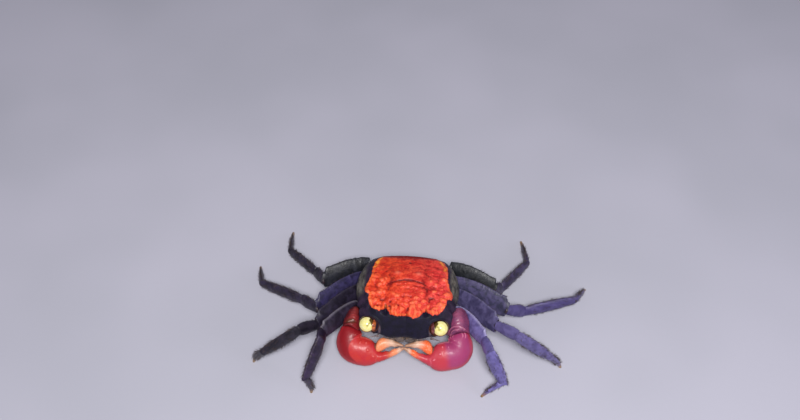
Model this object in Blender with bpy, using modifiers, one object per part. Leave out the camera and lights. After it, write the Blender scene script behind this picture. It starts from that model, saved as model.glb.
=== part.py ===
"""Vampire crab (Geosesarma), a still life-size model that stands on the floor.

Sizes are in millimetres and become metres as each mesh is made. The crab faces -Y, its left
side is +X and the floor is z = 0. Every limb is worked out as if it were on the left and is
mirrored for the right. An empty carries all pieces and puts the middle of the model's
footprint on the origin.
"""

import math
from collections import namedtuple

import bmesh
import bpy
from mathutils import Matrix, Vector

MM = 0.001
GAP = 0.3
UP = Vector((0.0, 0.0, 1.0))

# Carapace: the shell is 17.2 wide and 15.3 long, and its back stands 11.2 above the floor.
HALF_WIDTH = 8.6
HALF_LENGTH = 7.65
APEX_Z = 11.2
CROWN_Y = 0.5
SIDE_FALL = 1.0
FRONT_FALL = 1.15
REAR_FALL = 1.7
UNDERSIDE_Z = 5.3
DORSAL_RINGS = (
    1.0, 0.975, 0.945, 0.905, 0.86, 0.81, 0.76, 0.71, 0.66, 0.61, 0.56, 0.5, 0.43, 0.36, 0.29,
    0.22, 0.15, 0.08,
)
WALL_STEPS = (0.12, 0.3, 0.5, 0.72, 0.9, 1.0)

# Points of one half of the shell, front to rear: its rim, the foot of the wall below it, how
# square the edge is rounded, over what share of the way to the middle, and how fast the wall
# leaves the rim. The last two values are the columns of faces up to the next point and whether
# the outline has a corner there.
Landmark = namedtuple("Landmark", "rim foot edge reach wall columns sharp")
LANDMARKS = (
    Landmark((0.0, -7.75, 6.95), (0.0, -5.9, 3.9), 1.25, 0.21, 0.4, 4, False),
    Landmark((2.1, -8.05, 6.95), (1.7, -5.9, 3.9), 1.25, 0.22, 0.4, 4, False),
    Landmark((4.0, -7.7, 7.3), (3.3, -5.7, 3.9), 1.25, 0.22, 0.45, 5, True),
    Landmark((5.9, -7.1, 7.3), (4.8, -5.3, 4.0), 1.5, 0.22, 0.65, 3, False),
    Landmark((7.2, -6.2, 8.0), (5.4, -4.9, 4.2), 1.5, 0.18, 0.8, 3, False),
    Landmark((7.65, -4.7, 9.1), (5.7, -4.4, 4.3), 1.5, 0.14, 0.8, 2, True),
    Landmark((7.6, -4.0, 8.9), (5.9, -3.9, 4.5), 1.7, 0.18, 0.8, 2, False),
    Landmark((8.1, -3.3, 8.8), (6.1, -3.3, 4.7), 1.7, 0.20, 0.9, 2, True),
    Landmark((8.1, -2.5, 8.5), (6.3, -2.5, 4.9), 1.8, 0.24, 1.1, 5, False),
    Landmark((8.6, 1.0, 7.7), (6.5, 0.6, 5.3), 2.2, 0.32, 1.7, 5, False),
    Landmark((7.8, 4.6, 7.4), (6.2, 3.8, 5.3), 2.2, 0.32, 1.7, 3, False),
    Landmark((6.5, 6.4, 7.4), (5.2, 5.5, 5.3), 2.0, 0.26, 1.5, 3, False),
    Landmark((4.9, 7.0, 7.8), (3.9, 6.3, 5.3), 1.8, 0.2, 1.5, 6, True),
    Landmark((0.0, 7.25, 8.0), (0.0, 6.7, 5.3), 1.8, 0.2, 1.5, 0, False),
)

# Swellings on one half of the back: place across and along it, half sizes, and height. They run
# from the two beside the heart out to the shoulder, then forward to the lobes over the front.
Swelling = namedtuple("Swelling", "x y wide long rise")
SWELLINGS = (
    Swelling(1.75, 1.9, 0.85, 0.5, 0.22), Swelling(4.0, 0.6, 0.75, 0.8, 0.2),
    Swelling(6.0, 1.1, 0.8, 0.9, 0.28), Swelling(7.1, -1.6, 0.9, 0.8, 0.45),
    Swelling(5.8, -3.7, 0.9, 0.8, 0.4), Swelling(4.7, -5.0, 0.8, 0.6, 0.5),
    Swelling(1.5, -4.9, 1.1, 0.8, 0.42), Swelling(2.1, -2.4, 1.0, 1.0, 0.22),
)
# Grooves: the middle of each, the width of the line, half its length, its depth, how far its line
# turns toward the middle per step along it, and how much it curves.
ARC_GROOVE = {"y": 0.6, "line": 0.42, "half": 2.6, "depth": 0.42, "curve": 0.09}
CROSS_GROOVE = {"x": 3.1, "y": -1.2, "line": 0.45, "half": 2.6, "depth": 0.3, "turn": -0.3}
HEART_GROOVE = {"x": 2.95, "y": 2.4, "line": 0.4, "half": 1.6, "depth": 0.25, "turn": 0.05}
FRONT_GROOVE = {"x": 0.0, "y": -5.4, "line": 0.35, "half": 1.3, "depth": 0.5, "turn": 0.0}
NOTCH_GROOVE = {"x": 3.25, "y": -5.6, "line": 0.4, "half": 1.0, "depth": 0.6, "turn": 0.0}
REAR_GROOVE = {"y": 5.95, "line": 0.32, "half": 4.8, "depth": 0.2, "curve": 0.0}

# Orbits and eyes.
ORBIT = Vector((6.05, -6.9, 8.45))
ORBIT_RADII = Vector((2.0, 2.06, 1.76))
EYE = Vector((6.15, -6.5, 8.3))
EYE_RADIUS = 1.2
STALK_ROOT = Vector((4.65, -6.75, 8.4))

# Thorax: stations along the sternum as y, half width and lowest point.
THORAX_STATIONS = (
    (-4.7, 2.0, 3.1), (-3.9, 3.6, 2.8), (-2.4, 4.6, 2.6), (0.0, 5.0, 2.5),
    (2.6, 4.9, 2.5), (4.8, 4.3, 2.7), (6.0, 3.3, 3.0), (6.6, 2.2, 3.4),
)
COXA_HALF = 1.05
COXA_ROOT_X = 3.4

# Pleon folded under the thorax: y, z, half width, and whether a segment ends there.
PLEON_STATIONS = (
    (8.15, 6.4, 2.5, 0), (8.15, 5.5, 2.65, 1), (7.9, 4.4, 2.6, 0), (7.3, 3.3, 2.5, 1),
    (6.4, 2.45, 2.4, 0), (5.2, 2.0, 2.3, 1), (3.8, 1.85, 2.1, 0), (2.4, 1.8, 1.75, 1),
    (1.0, 1.8, 1.4, 0), (-0.4, 1.85, 1.1, 1), (-1.5, 1.95, 0.75, 0), (-2.3, 2.05, 0.3, 0),
)
PLEON_THICK = 0.6
PLEON_STEP = 0.12

# Mouth: the two plates that close it, and the short feelers under the front edge.
JAW_SIZE = Vector((2.7, 0.46, 2.2))
JAW_CENTRE = Vector((1.55, -6.68, 4.5))
JAW_TILT = 15.0
ANTENNULE = (Vector((1.2, -7.4, 6.22)), Vector((2.9, -7.45, 6.22)), 0.22)
ANTENNA = (Vector((4.2, -7.4, 6.45)), Vector((6.2, -8.0, 6.4)), 0.3)

# Walking legs, counted 1 to 4 from the front. Hips lie on the thorax and roots beside the
# shell. Lengths are those of merus, carpus, propodus and dactylus.
HIPS = {
    1: Vector((6.2, -0.7, 3.8)), 2: Vector((6.3, 1.6, 3.8)),
    3: Vector((6.1, 3.8, 3.8)), 4: Vector((5.5, 5.8, 3.9)),
}
ROOTS = {
    1: Vector((8.6, -1.0, 5.0)), 2: Vector((8.2, 2.2, 5.0)),
    3: Vector((8.0, 4.5, 5.1)), 4: Vector((7.4, 7.2, 5.6)),
}
LENGTHS = {
    1: (8.4, 3.5, 6.7, 4.5), 2: (10.6, 4.1, 7.8, 4.9),
    3: (9.9, 4.2, 9.4, 5.6), 4: (8.0, 3.6, 7.9, 6.1),
}
# Full height and thickness of each leg piece at its widest.
MERUS_SIZE = {1: (2.9, 1.05), 2: (3.6, 1.05), 3: (4.0, 1.05), 4: (3.8, 1.1)}
MERUS_BOW = 0.5
CARPUS_SIZE = (2.3, 1.35)
PROPODUS_SIZE = {1: (2.6, 1.45), 2: (2.25, 1.25), 3: (2.3, 1.25), 4: (2.3, 1.25)}
DACTYLUS_SIZE = (1.25, 0.85)
ISCHIUM_SIZE = (1.9, 1.5)
FOOT_RADIUS = 0.22
DACTYLUS_BOW = 0.55
# The pose: degrees that merus, carpus and propodus point forward of straight out and above
# level, then the dactylus's forward angle. Its drop follows from the height it has to lose.
POSE = {
    ("l", 1): ((58, 17), (75, 25), (37, -62), 161),
    ("l", 2): ((49, 18), (38, 17), (4, -42), -15),
    ("l", 3): ((27, -2), (-26, -36), (-16, 4), -61),
    ("l", 4): ((23, -8), (-57, -46), (-52, -2), -98),
    ("r", 1): ((54, 12), (94, 39), (65, -42), 175),
    ("r", 2): ((53, 9), (47, 32), (17, -35), -17),
    ("r", 3): ((45, 5), (-42, -24), (-28, -12), -75),
    ("r", 4): ((25, -3), (-57, -28), (-44, -10), -85),
}
# How far the upper edge of each piece leans back, in degrees.
MERUS_LEAN = 32.0
CARPUS_LEAN = 20.0
PROPODUS_LEAN = 10.0

# Leg profiles: place along the piece, then upper, lower and side half sizes as shares.
Station = namedtuple("Station", "at upper lower side")
ISCHIUM = (Station(0.0, 0.9, 0.9, 0.9), Station(0.5, 1.0, 1.0, 1.0), Station(1.0, 0.98, 0.98, 0.8))
MERUS = (
    Station(0.0, 0.64, 0.62, 0.95), Station(0.2, 0.86, 0.84, 1.0), Station(0.5, 1.0, 1.0, 1.0),
    Station(0.78, 0.98, 0.92, 0.97), Station(0.89, 1.04, 0.82, 0.95),
    Station(0.95, 0.74, 0.76, 0.92), Station(1.0, 0.66, 0.7, 0.9),
)
CARPUS = (
    Station(0.0, 0.72, 0.7, 0.87), Station(0.3, 0.88, 0.82, 0.95),
    Station(0.7, 1.0, 0.92, 1.0), Station(1.0, 0.88, 0.86, 0.92),
)
PROPODUS = (
    Station(0.0, 0.8, 0.8, 0.88), Station(0.25, 1.0, 0.95, 1.0),
    Station(0.6, 0.96, 0.92, 0.96), Station(1.0, 0.62, 0.64, 0.72),
)
DACTYLUS = (
    Station(0.0, 1.0, 1.0, 1.0), Station(0.2, 0.94, 0.94, 0.96), Station(0.45, 0.74, 0.74, 0.78),
    Station(0.7, 0.54, 0.48, 0.6), Station(0.9, 0.38, 0.3, 0.45),
)

# Claws, folded in front of the face with their tips on the midline.
CLAW_HIP = Vector((5.5, -3.3, 3.7))
CLAW_ELBOW = Vector((8.3, -2.9, 5.5))
CLAW_WRIST = Vector((9.0, -6.4, 6.2))
CLAW_MERUS_SIZE = (2.2, 1.9)
CLAW_CARPUS_SIZE = (3.0, 2.8)
CLAW_MERUS = (
    Station(0.0, 0.8, 0.8, 0.8), Station(0.4, 1.0, 1.0, 1.0), Station(1.0, 0.95, 0.9, 0.95),
)
CLAW_CARPUS = (
    Station(0.0, 0.66, 0.62, 0.65), Station(0.22, 1.0, 0.9, 0.92),
    Station(0.5, 1.08, 1.0, 1.0), Station(1.0, 0.8, 0.9, 0.9),
)
# The chela is a curve from the wrist, round the bend of the palm, to the finger tips.
CHELA_HEEL = Vector((9.0, -5.6, 6.2))
CHELA_BEND = Vector((10.0, -9.1, 2.2))
CHELA_TIP = Vector((0.35, -8.7, 5.1))
# Chela stations: place along it, its middle above the centre line, half height, and how far it
# swells outward and inward.
Swell = namedtuple("Swell", "at middle half outer inner")
PALM = (
    Swell(0.0, 0.0, 0.75, 0.6, 0.6), Swell(0.03, 0.0, 1.25, 1.05, 1.0),
    Swell(0.09, 0.1, 1.75, 1.45, 1.35), Swell(0.17, -0.05, 2.15, 1.75, 1.5),
    Swell(0.26, -0.35, 2.4, 1.95, 1.6), Swell(0.35, -0.7, 2.45, 2.0, 1.6),
    Swell(0.44, -0.85, 2.4, 1.95, 1.55), Swell(0.53, -0.7, 2.38, 1.8, 1.45),
    Swell(0.62, -0.58, 2.2, 1.6, 1.3), Swell(0.7, -0.45, 1.85, 1.3, 1.1),
    Swell(0.74, -0.35, 1.65, 1.1, 0.95),
)
FIXED_FINGER = (
    Swell(0.76, -1.15, 0.85, 0.95, 0.85), Swell(0.8, -1.15, 0.68, 0.8, 0.7),
    Swell(0.84, -1.02, 0.6, 0.68, 0.6), Swell(0.88, -0.88, 0.46, 0.56, 0.5),
    Swell(0.92, -0.68, 0.42, 0.45, 0.42), Swell(0.96, -0.42, 0.3, 0.33, 0.3),
    Swell(1.0, -0.12, 0.15, 0.18, 0.18),
)
FREE_FINGER = (
    Swell(0.795, 0.62, 0.83, 0.88, 0.78), Swell(0.82, 0.95, 0.72, 0.8, 0.7),
    Swell(0.86, 1.2, 0.56, 0.66, 0.6), Swell(0.9, 1.25, 0.48, 0.54, 0.5),
    Swell(0.94, 1.05, 0.36, 0.42, 0.38), Swell(0.975, 0.7, 0.26, 0.3, 0.28),
    Swell(1.0, 0.42, 0.14, 0.17, 0.17),
)

LIMB_SIDES = 12
CHELA_SIDES = 16
THORAX_SIDES = 20

# Colours of the living animal, as linear values.
SHELL_RED = (0.62, 0.06, 0.02)
CLAW_RED = (0.50, 0.05, 0.03)
FINGER_ORANGE = (0.75, 0.30, 0.14)
LEG_PURPLE = (0.06, 0.05, 0.12)
TOE_BROWN = (0.22, 0.15, 0.07)
BELLY_GREY = (0.28, 0.26, 0.22)
EYE_YELLOW = (0.85, 0.80, 0.38)
STALK_BROWN = (0.30, 0.12, 0.05)


def clear_scene():
    for obj in list(bpy.data.objects):
        bpy.data.objects.remove(obj, do_unlink=True)


def new_collection(name):
    collection = bpy.data.collections.new(name)
    bpy.context.scene.collection.children.link(collection)
    return collection


def make_material(name, colour, roughness):
    material = bpy.data.materials.new(name)
    material.use_nodes = True
    shader = material.node_tree.nodes["Principled BSDF"]
    shader.inputs["Base Color"].default_value = (*colour, 1.0)
    shader.inputs["Roughness"].default_value = roughness
    shader.inputs["Metallic"].default_value = 0.0
    return material


def mirrored(point, side):
    return Vector((point.x * side, point.y, point.z))


def finish_object(name, bm, colour, roughness, collection):
    """An object from a mesh worked out in millimetres, with its own material."""
    bmesh.ops.scale(bm, vec=(MM, MM, MM), verts=bm.verts)
    bmesh.ops.recalc_face_normals(bm, faces=bm.faces)
    mesh = bpy.data.meshes.new(name)
    bm.to_mesh(mesh)
    bm.free()
    mesh.materials.append(make_material(name, colour, roughness))
    mesh.shade_smooth()
    mesh.set_sharp_from_angle(angle=math.radians(40))
    obj = bpy.data.objects.new(name, mesh)
    collection.objects.link(obj)
    return obj


def add_loft(bm, rings, cap_start=True, cap_end=True):
    """Faces between closed rings of points, with flat caps where asked."""
    loops = [[bm.verts.new(point) for point in ring] for ring in rings]
    for near, far in zip(loops, loops[1:]):
        for k in range(len(near)):
            nxt = (k + 1) % len(near)
            bm.faces.new((near[k], near[nxt], far[nxt], far[k]))
    if cap_start:
        bm.faces.new(loops[0])
    if cap_end:
        bm.faces.new(loops[-1])
    return loops


def add_fan(bm, loop, point):
    hub = bm.verts.new(point)
    for k, vert in enumerate(loop):
        bm.faces.new((vert, loop[(k + 1) % len(loop)], hub))


def loft_object(name, rings, side, colour, roughness, collection):
    bm = bmesh.new()
    add_loft(bm, [[mirrored(point, side) for point in ring] for ring in rings])
    return finish_object(name, bm, colour, roughness, collection)


def signed_power(value, exponent):
    return math.copysign(abs(value) ** exponent, value)


def oval(centre, across, up, upper, lower, front, back, sides, edge=1.7, belly=2.3):
    """A closed ring: a flattened oval with a keener upper edge than lower one."""
    ring = []
    for k in range(sides):
        angle = math.tau * (k + 0.5) / sides
        c, s = math.cos(angle), math.sin(angle)
        power = 2.0 / (edge if s > 0 else belly)
        wide = signed_power(c, power) * (front if c > 0 else back)
        high = signed_power(s, power) * (upper if s > 0 else lower)
        ring.append(centre + across * wide + up * high)
    return ring


def bend(start, control, end, t):
    """Place and direction on the curve from start to end that leans toward control."""
    place = start * (1 - t) ** 2 + control * (2 * t * (1 - t)) + end * t ** 2
    heading = (control - start) * (1 - t) + (end - control) * t
    return place, heading.normalized()


def settle(obj):
    """Apply the modifiers and keep the largest closed surface."""
    graph = bpy.context.evaluated_depsgraph_get()
    mesh = bpy.data.meshes.new_from_object(obj.evaluated_get(graph))
    obj.modifiers.clear()
    obj.data = mesh
    bm = bmesh.new()
    bm.from_mesh(mesh)
    left = set(bm.verts)
    islands = []
    while left:
        stack = [left.pop()]
        island = set(stack)
        while stack:
            for edge in stack.pop().link_edges:
                for vert in edge.verts:
                    if vert in left:
                        left.remove(vert)
                        island.add(vert)
                        stack.append(vert)
        islands.append(island)
    largest = max(islands, key=len)
    bmesh.ops.delete(bm, geom=[v for v in bm.verts if v not in largest], context="VERTS")
    bmesh.ops.dissolve_degenerate(bm, dist=1e-6, edges=bm.edges)
    bm.to_mesh(mesh)
    bm.free()


def add_cut(obj, cutter, name):
    boolean = obj.modifiers.new(name, "BOOLEAN")
    boolean.operation = "DIFFERENCE"
    boolean.object = cutter
    boolean.solver = "EXACT"


def hide_cutter(cutter):
    cutter.hide_render = True
    cutter.display_type = "WIRE"


def grown_cutter(obj, amount, collection):
    """A copy of obj that stands out by amount on every side, to cut its neighbours clear."""
    cutter = bpy.data.objects.new("clear_" + obj.name, obj.data)
    collection.objects.link(cutter)
    displace = cutter.modifiers.new("grow", "DISPLACE")
    displace.strength = amount * MM
    displace.mid_level = 0.0
    hide_cutter(cutter)
    return cutter


def bell(distance, width):
    return math.exp(-((distance / width) ** 2))


def dome_height(x, y):
    """The back's smooth height, highest at the middle and falling to all sides."""
    side = SIDE_FALL * (abs(x) / HALF_WIDTH) ** 2.6
    if y < 0:
        return APEX_Z - side - FRONT_FALL * (y / 6.2) ** 2
    return APEX_Z - side - REAR_FALL * (y / HALF_LENGTH) ** 2


def groove_across(x, y, groove):
    line = y - groove["y"] + groove["curve"] * x * x
    return groove["depth"] * bell(line, groove["line"]) * bell(x, groove["half"])


def groove_along(x, y, groove):
    ahead = y - groove["y"]
    line = abs(x) - groove["x"] - groove["turn"] * ahead
    return groove["depth"] * bell(line, groove["line"]) * bell(ahead, groove["half"])


def relief(x, y):
    """Grooves and swellings that part the back into its regions."""
    height = 0.0
    for s in SWELLINGS:
        height += s.rise * bell(abs(x) - s.x, s.wide) * bell(y - s.y, s.long)
    for groove in (ARC_GROOVE, REAR_GROOVE):
        height -= groove_across(x, y, groove)
    for groove in (CROSS_GROOVE, HEART_GROOVE, FRONT_GROOVE, NOTCH_GROOVE):
        height -= groove_along(x, y, groove)
    return height


def half_columns():
    """Rim, foot and edge values at each column of faces on the left half, front to rear."""
    rows = [[*m.rim, *m.foot, m.edge, m.reach, m.wall] for m in LANDMARKS]
    flip = [-1, 1, 1, -1, 1, 1, 1, 1, 1]
    before = [value * sign for value, sign in zip(rows[1], flip)]
    after = [value * sign for value, sign in zip(rows[-2], flip)]
    padded = [before, *rows, after]

    def step(a, b):
        return math.dist(a[:3], b[:3])

    def slope(i, ahead):
        if LANDMARKS[i - 1].sharp:
            a, b = (padded[i], padded[i + 1]) if ahead else (padded[i - 1], padded[i])
            return [(q - p) / step(a, b) for p, q in zip(a, b)]
        a, b, c = padded[i - 1], padded[i], padded[i + 1]
        return [(q - p) / (step(a, b) + step(b, c)) for p, q in zip(a, c)]

    columns = []
    for i in range(1, len(rows)):
        a, b = padded[i], padded[i + 1]
        span = step(a, b)
        slope_a, slope_b = slope(i, True), slope(i + 1, False)
        count = LANDMARKS[i - 1].columns
        for k in range(count):
            t = k / count
            h00 = 2 * t ** 3 - 3 * t ** 2 + 1
            h10 = t ** 3 - 2 * t ** 2 + t
            h01 = -2 * t ** 3 + 3 * t ** 2
            h11 = t ** 3 - t ** 2
            columns.append([
                h00 * p + h10 * span * u + h01 * q + h11 * span * v
                for p, q, u, v in zip(a, b, slope_a, slope_b)
            ])
    columns.append(rows[-1])
    return columns


def carapace_rings():
    """Closed rings from near the middle of the back, out to the rim and down to the foot."""
    left = half_columns()
    right = [[-c[0], c[1], c[2], -c[3], *c[4:]] for c in left[1:-1]]
    columns = left + right[::-1]
    rings = []
    for share in reversed(DORSAL_RINGS):
        ring = []
        for x, y, z, _, _, _, edge, reach, _ in columns:
            px, py = x * share, CROWN_Y + (y - CROWN_Y) * share
            depth = min(1.0, (1.0 - share) / reach)
            rise = (1.0 - (1.0 - depth) ** edge) ** (1.0 / edge)
            pz = z + (dome_height(px, py) - z) * rise + relief(px, py) * depth
            ring.append(Vector((px, py, pz)))
        rings.append(ring)
    for drop in WALL_STEPS:
        ring = []
        for x, y, z, fx, fy, fz, _, _, wall in columns:
            inward = drop ** wall
            place = (x + (fx - x) * inward, y + (fy - y) * inward, z + (fz - z) * drop)
            ring.append(Vector(place))
        rings.append(ring)
    return rings


def build_carapace(collection, cutters):
    bm = bmesh.new()
    loops = add_loft(bm, carapace_rings(), cap_start=False, cap_end=False)
    apex = dome_height(0.0, CROWN_Y) + relief(0.0, CROWN_Y)
    add_fan(bm, loops[0], (0.0, CROWN_Y, apex))
    add_fan(bm, loops[-1], (0.0, CROWN_Y, UNDERSIDE_Z))
    obj = finish_object("carapace", bm, SHELL_RED, 0.35, collection)
    for side, letter in ((1, "l"), (-1, "r")):
        ball = bmesh.new()
        bmesh.ops.create_uvsphere(ball, u_segments=18, v_segments=10, radius=1.0)
        bmesh.ops.scale(ball, vec=ORBIT_RADII, verts=ball.verts)
        bmesh.ops.translate(ball, vec=mirrored(ORBIT, side), verts=ball.verts)
        cutter = finish_object("orbit_" + letter, ball, BELLY_GREY, 0.5, cutters)
        hide_cutter(cutter)
        add_cut(obj, cutter, "orbit_" + letter)
    settle(obj)
    return obj


def underside_height(y):
    """The shell's underside along its middle, which slopes down to the mouth."""
    front_y, front_z = LANDMARKS[0].foot[1], LANDMARKS[0].foot[2]
    if y > CROWN_Y:
        return UNDERSIDE_Z
    return UNDERSIDE_Z + (front_z - UNDERSIDE_Z) * (CROWN_Y - y) / (CROWN_Y - front_y)


def coxa_rings(root, hip, heading):
    """A short stub from inside the thorax out to the hip, cut square to the next piece."""
    axis = (hip - root).normalized()
    across = axis.cross(UP).normalized()
    up = across.cross(axis)
    end = hip - heading * (GAP / 2)
    rings = []
    for at, share in ((0.0, 1.0), (0.6, 1.05), (1.0, 0.92)):
        centre = root.lerp(end, at)
        half = COXA_HALF * share
        ring = oval(centre, across, up, half, half, half, half, LIMB_SIDES, 2.2, 2.2)
        if at == 1.0:
            ring = [p - axis * ((p - end).dot(heading) / axis.dot(heading)) for p in ring]
        rings.append(ring)
    return rings


def build_thorax(collection, cutters, carapace):
    rings = []
    for y, half, low in THORAX_STATIONS:
        high = underside_height(y)
        centre = Vector((0.0, y, (high + low) / 2))
        tall = (high - low) / 2
        rings.append(oval(centre, Vector((1, 0, 0)), UP, tall, tall, half, half,
                          THORAX_SIDES, 3.0, 2.4))
    obj = loft_object("thorax", rings, 1, BELLY_GREY, 0.5, collection)
    pieces = bpy.data.collections.new("coxae")
    starts = [(HIPS[leg], ROOTS[leg]) for leg in HIPS] + [(CLAW_HIP, CLAW_ELBOW)]
    for side in (1, -1):
        for hip, root in starts:
            inner = Vector((COXA_ROOT_X, hip.y * 0.85, hip.z - 0.1))
            heading = (root - hip).normalized()
            stub = coxa_rings(inner, hip, heading)
            loft_object("coxa", stub, side, BELLY_GREY, 0.5, pieces)
    union = obj.modifiers.new("coxae", "BOOLEAN")
    union.operation = "UNION"
    union.operand_type = "COLLECTION"
    union.collection = pieces
    union.solver = "EXACT"
    add_cut(obj, grown_cutter(carapace, GAP, cutters), "under_shell")
    settle(obj)
    for piece in list(pieces.objects):
        bpy.data.objects.remove(piece, do_unlink=True)
    bpy.data.collections.remove(pieces)
    return obj


def build_pleon(collection):
    """The narrow tail flap of a male, folded forward under the body."""
    points = [Vector((0.0, y, z)) for y, z, _, _ in PLEON_STATIONS]
    rings = []
    for i, (_, _, half, ends) in enumerate(PLEON_STATIONS):
        ahead = points[min(i + 1, len(points) - 1)]
        behind = points[max(i - 1, 0)]
        out = (ahead - behind).normalized().cross(Vector((1, 0, 0)))
        thick = PLEON_THICK / 2
        outer = thick + (PLEON_STEP if ends else 0.0)
        rings.append(oval(points[i], Vector((1, 0, 0)), out, thick, outer, half, half,
                          LIMB_SIDES, 3.0, 3.0))
    return loft_object("pleon", rings, 1, BELLY_GREY, 0.5, collection)


def build_jaw(side, letter, collection):
    bm = bmesh.new()
    bmesh.ops.create_cube(bm, size=1.0)
    bmesh.ops.scale(bm, vec=JAW_SIZE, verts=bm.verts)
    for vert in bm.verts:
        if vert.co.z < 0:
            vert.co.x = (vert.co.x + JAW_SIZE.x / 2) * 0.72 - JAW_SIZE.x / 2
    bmesh.ops.rotate(bm, matrix=Matrix.Rotation(math.radians(JAW_TILT), 3, "X"), verts=bm.verts)
    for vert in bm.verts:
        vert.co = mirrored(vert.co + JAW_CENTRE, side)
    obj = finish_object("maxilliped_" + letter, bm, BELLY_GREY, 0.5, collection)
    bevel = obj.modifiers.new("rounded_edges", "BEVEL")
    bevel.width = 0.18 * MM
    bevel.segments = 2
    bevel.limit_method = "ANGLE"
    return obj


def build_feeler(name, start, end, radius, tip, side, colour, collection):
    axis = (end - start).normalized()
    across = axis.cross(UP).normalized()
    up = across.cross(axis)
    rings = []
    for at in (0.0, 0.35, 0.7, 1.0):
        half = radius + (tip - radius) * at ** 2
        rings.append(oval(start.lerp(end, at), across, up, half, half, half, half, 8, 2, 2))
    return loft_object(name, rings, side, colour, 0.5, collection)


def build_eye(side, letter, collection):
    """The ball of the eye, cut flat where it meets its stalk, and the stalk itself."""
    axis = (EYE - STALK_ROOT).normalized()
    face = EYE_RADIUS * 0.58
    bm = bmesh.new()
    bmesh.ops.create_uvsphere(bm, u_segments=16, v_segments=10, radius=EYE_RADIUS)
    cut = bmesh.ops.bisect_plane(bm, geom=list(bm.verts) + list(bm.edges) + list(bm.faces),
                                 plane_co=-axis * face, plane_no=-axis, clear_outer=True)
    rim = [item for item in cut["geom_cut"] if isinstance(item, bmesh.types.BMEdge)]
    bmesh.ops.contextual_create(bm, geom=rim)
    for vert in bm.verts:
        vert.co = mirrored(vert.co + EYE, side)
    finish_object("eye_" + letter, bm, EYE_YELLOW, 0.1, collection)
    across = axis.cross(UP).normalized()
    up = across.cross(axis)
    end = EYE - axis * (face + GAP)
    rings = []
    for at, half in ((0.0, 0.55), (0.4, 0.62), (0.8, 0.86), (1.0, 0.9)):
        rings.append(oval(STALK_ROOT.lerp(end, at), across, up, half, half, half, half, 12, 2, 2))
    loft_object("eyestalk_" + letter, rings, side, STALK_BROWN, 0.4, collection)


def direction(heading, rise):
    """A unit step on the left side, heading forward of straight out and rising."""
    h, r = math.radians(heading), math.radians(rise)
    return Vector((math.cos(h) * math.cos(r), -math.sin(h) * math.cos(r), math.sin(r)))


def limb_rings(start, end, plane_start, plane_end, gap_start, gap_end, profile, size, lean, bow=0.0):
    """Rings along one limb piece whose ends lie in the planes that it shares with its
    neighbours, each set back by half a gap where there is one."""
    axis = (end - start).normalized()
    length = (end - start).length
    turn = Matrix.Rotation(-math.radians(lean), 3, axis)
    upright = turn @ (UP - axis * axis.dot(UP)).normalized()
    control = start.lerp(end, 0.5) + upright * bow
    low = gap_start / 2 / (axis.dot(plane_start) * length)
    high = 1.0 - gap_end / 2 / (axis.dot(plane_end) * length)
    reach = 0.5 * length
    rings = []
    for station in profile:
        at = low + (high - low) * station.at
        centre, along = bend(start, control, end, at)
        up = (upright - along * along.dot(upright)).normalized()
        across = along.cross(up)
        tall, thick = size[0] / 2, size[1] / 2
        ring = oval(centre, across, up, station.upper * tall, station.lower * tall,
                    station.side * thick, station.side * thick, LIMB_SIDES)
        for plane, away in ((plane_start, station.at), (plane_end, 1.0 - station.at)):
            weight = max(0.0, 1.0 - away * length / reach)
            ring = [p - along * ((p - centre).dot(plane) / along.dot(plane) * weight)
                    for p in ring]
        rings.append(ring)
    return rings


def joint_plane(before, after):
    return (before + after).normalized()


def build_leg(letter, leg, collection):
    side = 1 if letter == "l" else -1
    merus, carpus, propodus, toe_heading = POSE[letter, leg]
    lengths = LENGTHS[leg]
    hip, root = HIPS[leg], ROOTS[leg]
    ways = [direction(*merus), direction(*carpus), direction(*propodus)]
    knee = root + ways[0] * lengths[0]
    wrist = knee + ways[1] * lengths[1]
    ankle = wrist + ways[2] * lengths[2]
    drop = math.degrees(math.asin(ankle.z / lengths[3]))
    toe = ankle + direction(toe_heading, -drop) * lengths[3]
    toe.z = 0.0
    name = "leg_" + letter + str(leg) + "_"

    hip_way = (root - hip).normalized()
    root_plane = joint_plane(hip_way, ways[0])
    knee_plane = joint_plane(ways[0], ways[1])
    wrist_plane = joint_plane(ways[1], ways[2])
    toe_way = (toe - ankle).normalized()
    ankle_plane = joint_plane(ways[2], toe_way)

    rings = limb_rings(hip, root, hip_way, root_plane, GAP, 0.0, ISCHIUM, ISCHIUM_SIZE, MERUS_LEAN)
    rings.pop()
    rings += limb_rings(root, knee, root_plane, knee_plane, 0.0, GAP, MERUS, MERUS_SIZE[leg],
                        MERUS_LEAN, MERUS_BOW)
    loft_object(name + "merus", rings, side, LEG_PURPLE, 0.4, collection)

    rings = limb_rings(knee, wrist, knee_plane, wrist_plane, GAP, GAP, CARPUS, CARPUS_SIZE,
                       CARPUS_LEAN)
    loft_object(name + "carpus", rings, side, LEG_PURPLE, 0.4, collection)

    rings = limb_rings(wrist, ankle, wrist_plane, ankle_plane, GAP, GAP, PROPODUS,
                       PROPODUS_SIZE[leg], PROPODUS_LEAN)
    loft_object(name + "propodus", rings, side, LEG_PURPLE, 0.4, collection)

    rings = limb_rings(ankle, toe, ankle_plane, toe_way, GAP, 0.0, DACTYLUS, DACTYLUS_SIZE, 0.0,
                       DACTYLUS_BOW)
    forward = Vector((toe_way.x, toe_way.y, 0.0)).normalized()
    rings.append(oval(toe, UP.cross(forward), forward * -1, FOOT_RADIUS, FOOT_RADIUS,
                      FOOT_RADIUS, FOOT_RADIUS, LIMB_SIDES, 2.0, 2.0))
    loft_object(name + "dactylus", rings, side, TOE_BROWN, 0.4, collection)


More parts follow.
